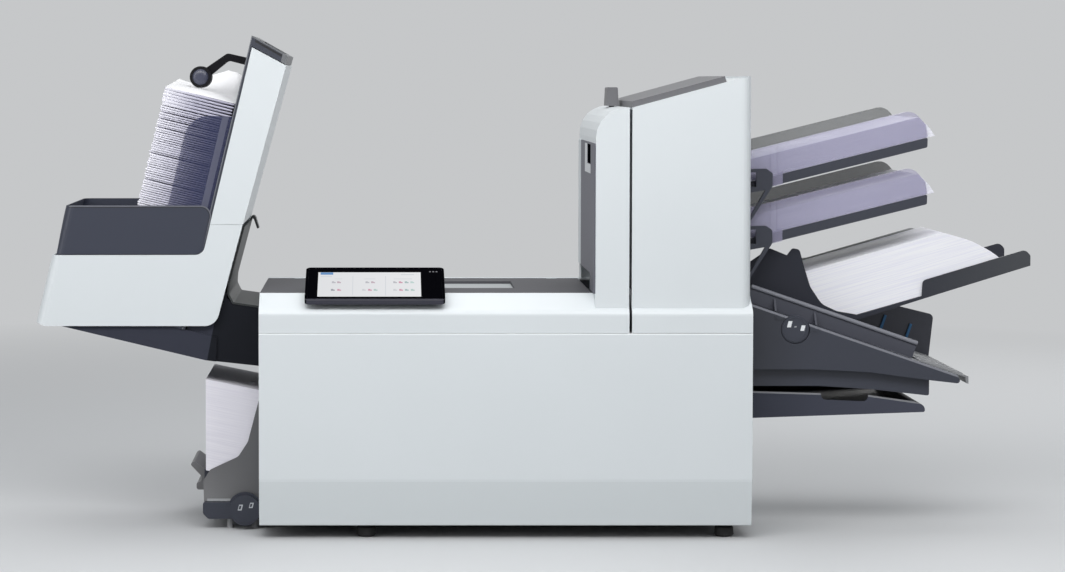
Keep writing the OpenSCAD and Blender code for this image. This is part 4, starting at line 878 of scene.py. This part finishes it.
# A plain label plate in the shape of an L lies round the sight window
labelPlate = {"face": 133.2, "low": 549.5, "step": 563.6, "high": 594.0,
              "near": -126.0, "bend": -65.6, "far": -24.0, "thick": 0.35, "sunk": 0.02}
face = labelPlate["face"]
plate = startBox("liner_label",
                 (face - labelPlate["thick"], labelPlate["near"], labelPlate["low"]),
                 (face + labelPlate["sunk"], labelPlate["far"], labelPlate["step"]))
pick(plate, "FACE", facesUp)
bpy.ops.mesh.subdivide(number_cuts=1)
bpy.ops.object.mode_set(mode="OBJECT")
middle = (labelPlate["near"] + labelPlate["far"]) / 2
for vertex in plate.data.vertices:
    if abs(vertex.co.y * 1000 - middle) < 0.5:
        vertex.co.y = labelPlate["bend"] / 1000
pick(plate, "FACE", lambda at, normal: facesUp(at, normal) and at.y > labelPlate["bend"])
extrude((0, 0, labelPlate["high"] - labelPlate["step"]))
settle(plate, "label", "cabinet")

# Back of the cabinet: a service plate with louvres, held by screws
servicePlate = {"left": -236, "right": 318, "low": 66, "high": 296, "corner": 10,
                "cornerSteps": 6, "thick": 1.1, "sunk": 0.05, "wall": 192.0,
                "rim": 0.6, "rimDeep": 0.3}
louvres = {"wide": 76, "high": 5.2, "proud": 0.75, "footProud": 0.05, "edge": 0.35,
           "edgeSteps": 2, "step": 9.5, "count": 9, "from": 196, "sunk": 0.3,
           "groups": (-202, -112, 130, 220)}
wall = servicePlate["wall"]
plate = startBox("service_plate",
                 (servicePlate["left"], wall - servicePlate["sunk"], servicePlate["low"]),
                 (servicePlate["right"], wall + servicePlate["thick"],
                  servicePlate["high"]))
pick(plate, "EDGE", runsDeep)
bevel(servicePlate["corner"], servicePlate["cornerSteps"])
pick(plate, "FACE", lambda at, normal: normal.y > 0.9)
rim = servicePlate["rim"] / 1000
bpy.ops.mesh.inset(thickness=rim, depth=0)
bpy.ops.mesh.inset(thickness=rim, depth=-servicePlate["rimDeep"] / 1000)
settle(plate, "white_shell", "cabinet")


# edges on the outer side of a louvre
def isOuter(a, b):
    return min(a.y, b.y) > louvres["proud"] / 2


louvre = startBox("louvre", (0, 0, 0), (louvres["wide"], louvres["proud"], louvres["high"]))
pick(louvre, "EDGE", lambda a, b: isOuter(a, b) and max(a.z, b.z) < louvres["high"] / 2)
grow((1, louvres["footProud"], 1), (0, 0, 0))
pick(louvre, "EDGE", isOuter)
bevel(louvres["edge"], louvres["edgeSteps"])
modify(louvre, "ARRAY", count=louvres["count"], use_relative_offset=False,
       use_constant_offset=True, constant_offset_displace=(0, 0, louvres["step"] / 1000))
group = copies(louvre, "louvres", [(x, 0, 0) for x in louvres["groups"]])
bpy.data.objects.remove(louvre)
settle(group, "pale_louvre", "cabinet",
       (0, wall + servicePlate["thick"] - louvres["sunk"], louvres["from"]))

# Screws: one pan head with a socket, copied to where covers are held
screw = {"rings": [(3.1, 0), (3.2, 0.5), (2.7, 1.2), (1.9, 1.5)], "segments": 24,
         "socket": 1.0, "deep": 0.8, "turn": (-90, 0, 0)}
screwPlaces = {  # body, the wall's place along Y, places along X and Z
    "screws_back": ("cabinet", 192.45, [(x, z) for x in (-226, 41, 308) for z in (76, 286)]),
    "screws_shell": ("cabinet", 191.9, [(x, z) for x in (-352, 352) for z in (40, 296)]),
    "screws_tower": ("cabinet", 127.9, [(152, z) for z in (392, 480, 572)]),
    "screws_sliding_tower": ("feed_unit", 127.9, [(x, z) for x in (204, 352)
                                                  for z in (392, 500, 610)]),
    "screws_hopper": ("feed_unit", 164.9, [(392, 270), (392, 330), (540, 262), (540, 284)]),
    "screws_stacker": ("cabinet", 123.9, [(-690, 345), (-690, 400), (-440, 335),
                                          (-425, 400)]),
    "screws_divert": ("divert", 149.9, [(400, 198), (520, 198)]),
}
pan = turned("pan_head", screw["rings"], screw["segments"])
faceRadius, faceHeight = screw["rings"][-1]
pick(pan, "FACE", lambda at, normal: facesUp(at, normal) and at.z > faceHeight - 0.1)
bpy.ops.mesh.inset(thickness=(faceRadius - screw["socket"]) / 1000, depth=0)
extrude((0, 0, -screw["deep"]))
bpy.ops.object.mode_set(mode="OBJECT")
for name, (body, wall, places) in screwPlaces.items():
    group = copies(pan, name, [(x, wall, z) for x, z in places], screw["turn"])
    settle(group, "steel", body)
bpy.data.objects.remove(pan)

# A bare rating plate beside the mains inlet
ratingPlate = {"low": (-330, 191.95, 104), "high": (-262, 192.4, 146), "corner": 3,
               "cornerSteps": 4}
plate = startBox("rating_plate", ratingPlate["low"], ratingPlate["high"])
pick(plate, "EDGE", runsDeep)
bevel(ratingPlate["corner"], ratingPlate["cornerSteps"])
settle(plate, "steel", "cabinet")
print("stage: small pieces made")

# The studio
studio = {"floor": 60.0, "colour": (0.62, 0.63, 0.64), "bounce": (0.25, 0.26, 0.27),
          "world": (0.92, 0.96, 1.0), "worldStrength": 0.3,
          "backdrop": (0.565, 0.575, 0.585), "roughness": 0.85, "fade": (1.3, 3.4)}
bpy.ops.object.select_all(action="DESELECT")
bpy.ops.mesh.primitive_plane_add(size=studio["floor"], location=(0, 0, 0))
floor = bpy.context.object
floor.name = "studio_floor"
finish = Finish("studio_floor", studio["colour"], studio["roughness"])
seen = finish.inView()
finish.feed("Base Color", finish.blendColours(seen, studio["bounce"], studio["colour"]))
x, y = finish.axis("X") / 1000, finish.axis("Y") / 1000
away = (x * x + y * y).root().rising(*studio["fade"])
glow = finish.node("ShaderNodeEmission", sockets={"Color": (*studio["backdrop"], 1)})
faded = finish.node("ShaderNodeMixShader", sockets={
    0: away * seen, 1: Field(finish.tree, finish.shader.outputs[0]), 2: glow})
finish.tree.links.new(faded.socket,
                      finish.tree.nodes["Material Output"].inputs["Surface"])
floor.data.materials.append(finish.material)

world = bpy.data.worlds.new("studio")
bpy.context.scene.world = world
world.use_nodes = True
sky = NodeTree(world.node_tree)
lighting = sky.tree.nodes["Background"]
lighting.inputs["Color"].default_value = (*studio["world"], 1)
lighting.inputs["Strength"].default_value = studio["worldStrength"]
backdrop = sky.node("ShaderNodeBackground", sockets={"Color": (*studio["backdrop"], 1)})
choice = sky.node("ShaderNodeMixShader", sockets={
    0: sky.inView(), 1: Field(sky.tree, lighting.outputs[0]), 2: backdrop})
sky.tree.links.new(choice.socket, sky.tree.nodes["World Output"].inputs["Surface"])

lamps = {  # place in metres, aim, width, height, watts
    "high": ((-0.3, -1.7, 1.8), (-0.1, 0, 0.6), 2.6, 0.8, 35.5),
    "fill": ((2.2, -2.6, 1.7), (0.1, 0, 0.5), 2.0, 2.0, 18),
    "top": ((0, 0.3, 2.6), (0, 0, 0.3), 3.0, 1.6, 19),
    "side": ((-2.4, -1.9, 1.2), (-0.6, 0, 0.5), 0.8, 1.6, 15),
    "back": ((1.7, 2.4, 1.6), (0, 0, 0.3), 2.0, 1.4, 26),
}
for name, (at, aim, width, height, watts) in lamps.items():
    bpy.ops.object.light_add(type="AREA", location=at)
    lamp = bpy.context.object
    lamp.name = name + "_lamp"
    lamp.data.shape = "RECTANGLE"
    lamp.data.size, lamp.data.size_y = width, height
    lamp.data.energy = watts
    lamp.rotation_euler = (Vector(aim) - Vector(at)).to_track_quat("-Z", "Y").to_euler()

# The photograph's level view is shared between a slight tilt and the lens shift
camera = {"at": (-186, -3960, 692), "lens": 84.75, "sensor": 36, "tilt": 87.645,
          "shiftX": 0.1414, "shiftY": -0.0964}
bpy.ops.object.camera_add(location=place(*camera["at"]),
                          rotation=(math.radians(camera["tilt"]), 0, 0))
photographer = bpy.context.object
photographer.data.lens = camera["lens"]
photographer.data.sensor_width = camera["sensor"]
photographer.data.shift_x = camera["shiftX"]
photographer.data.shift_y = camera["shiftY"]
bpy.context.scene.camera = photographer
bpy.context.scene.view_settings.view_transform = "Standard"
print("stage: studio ready")
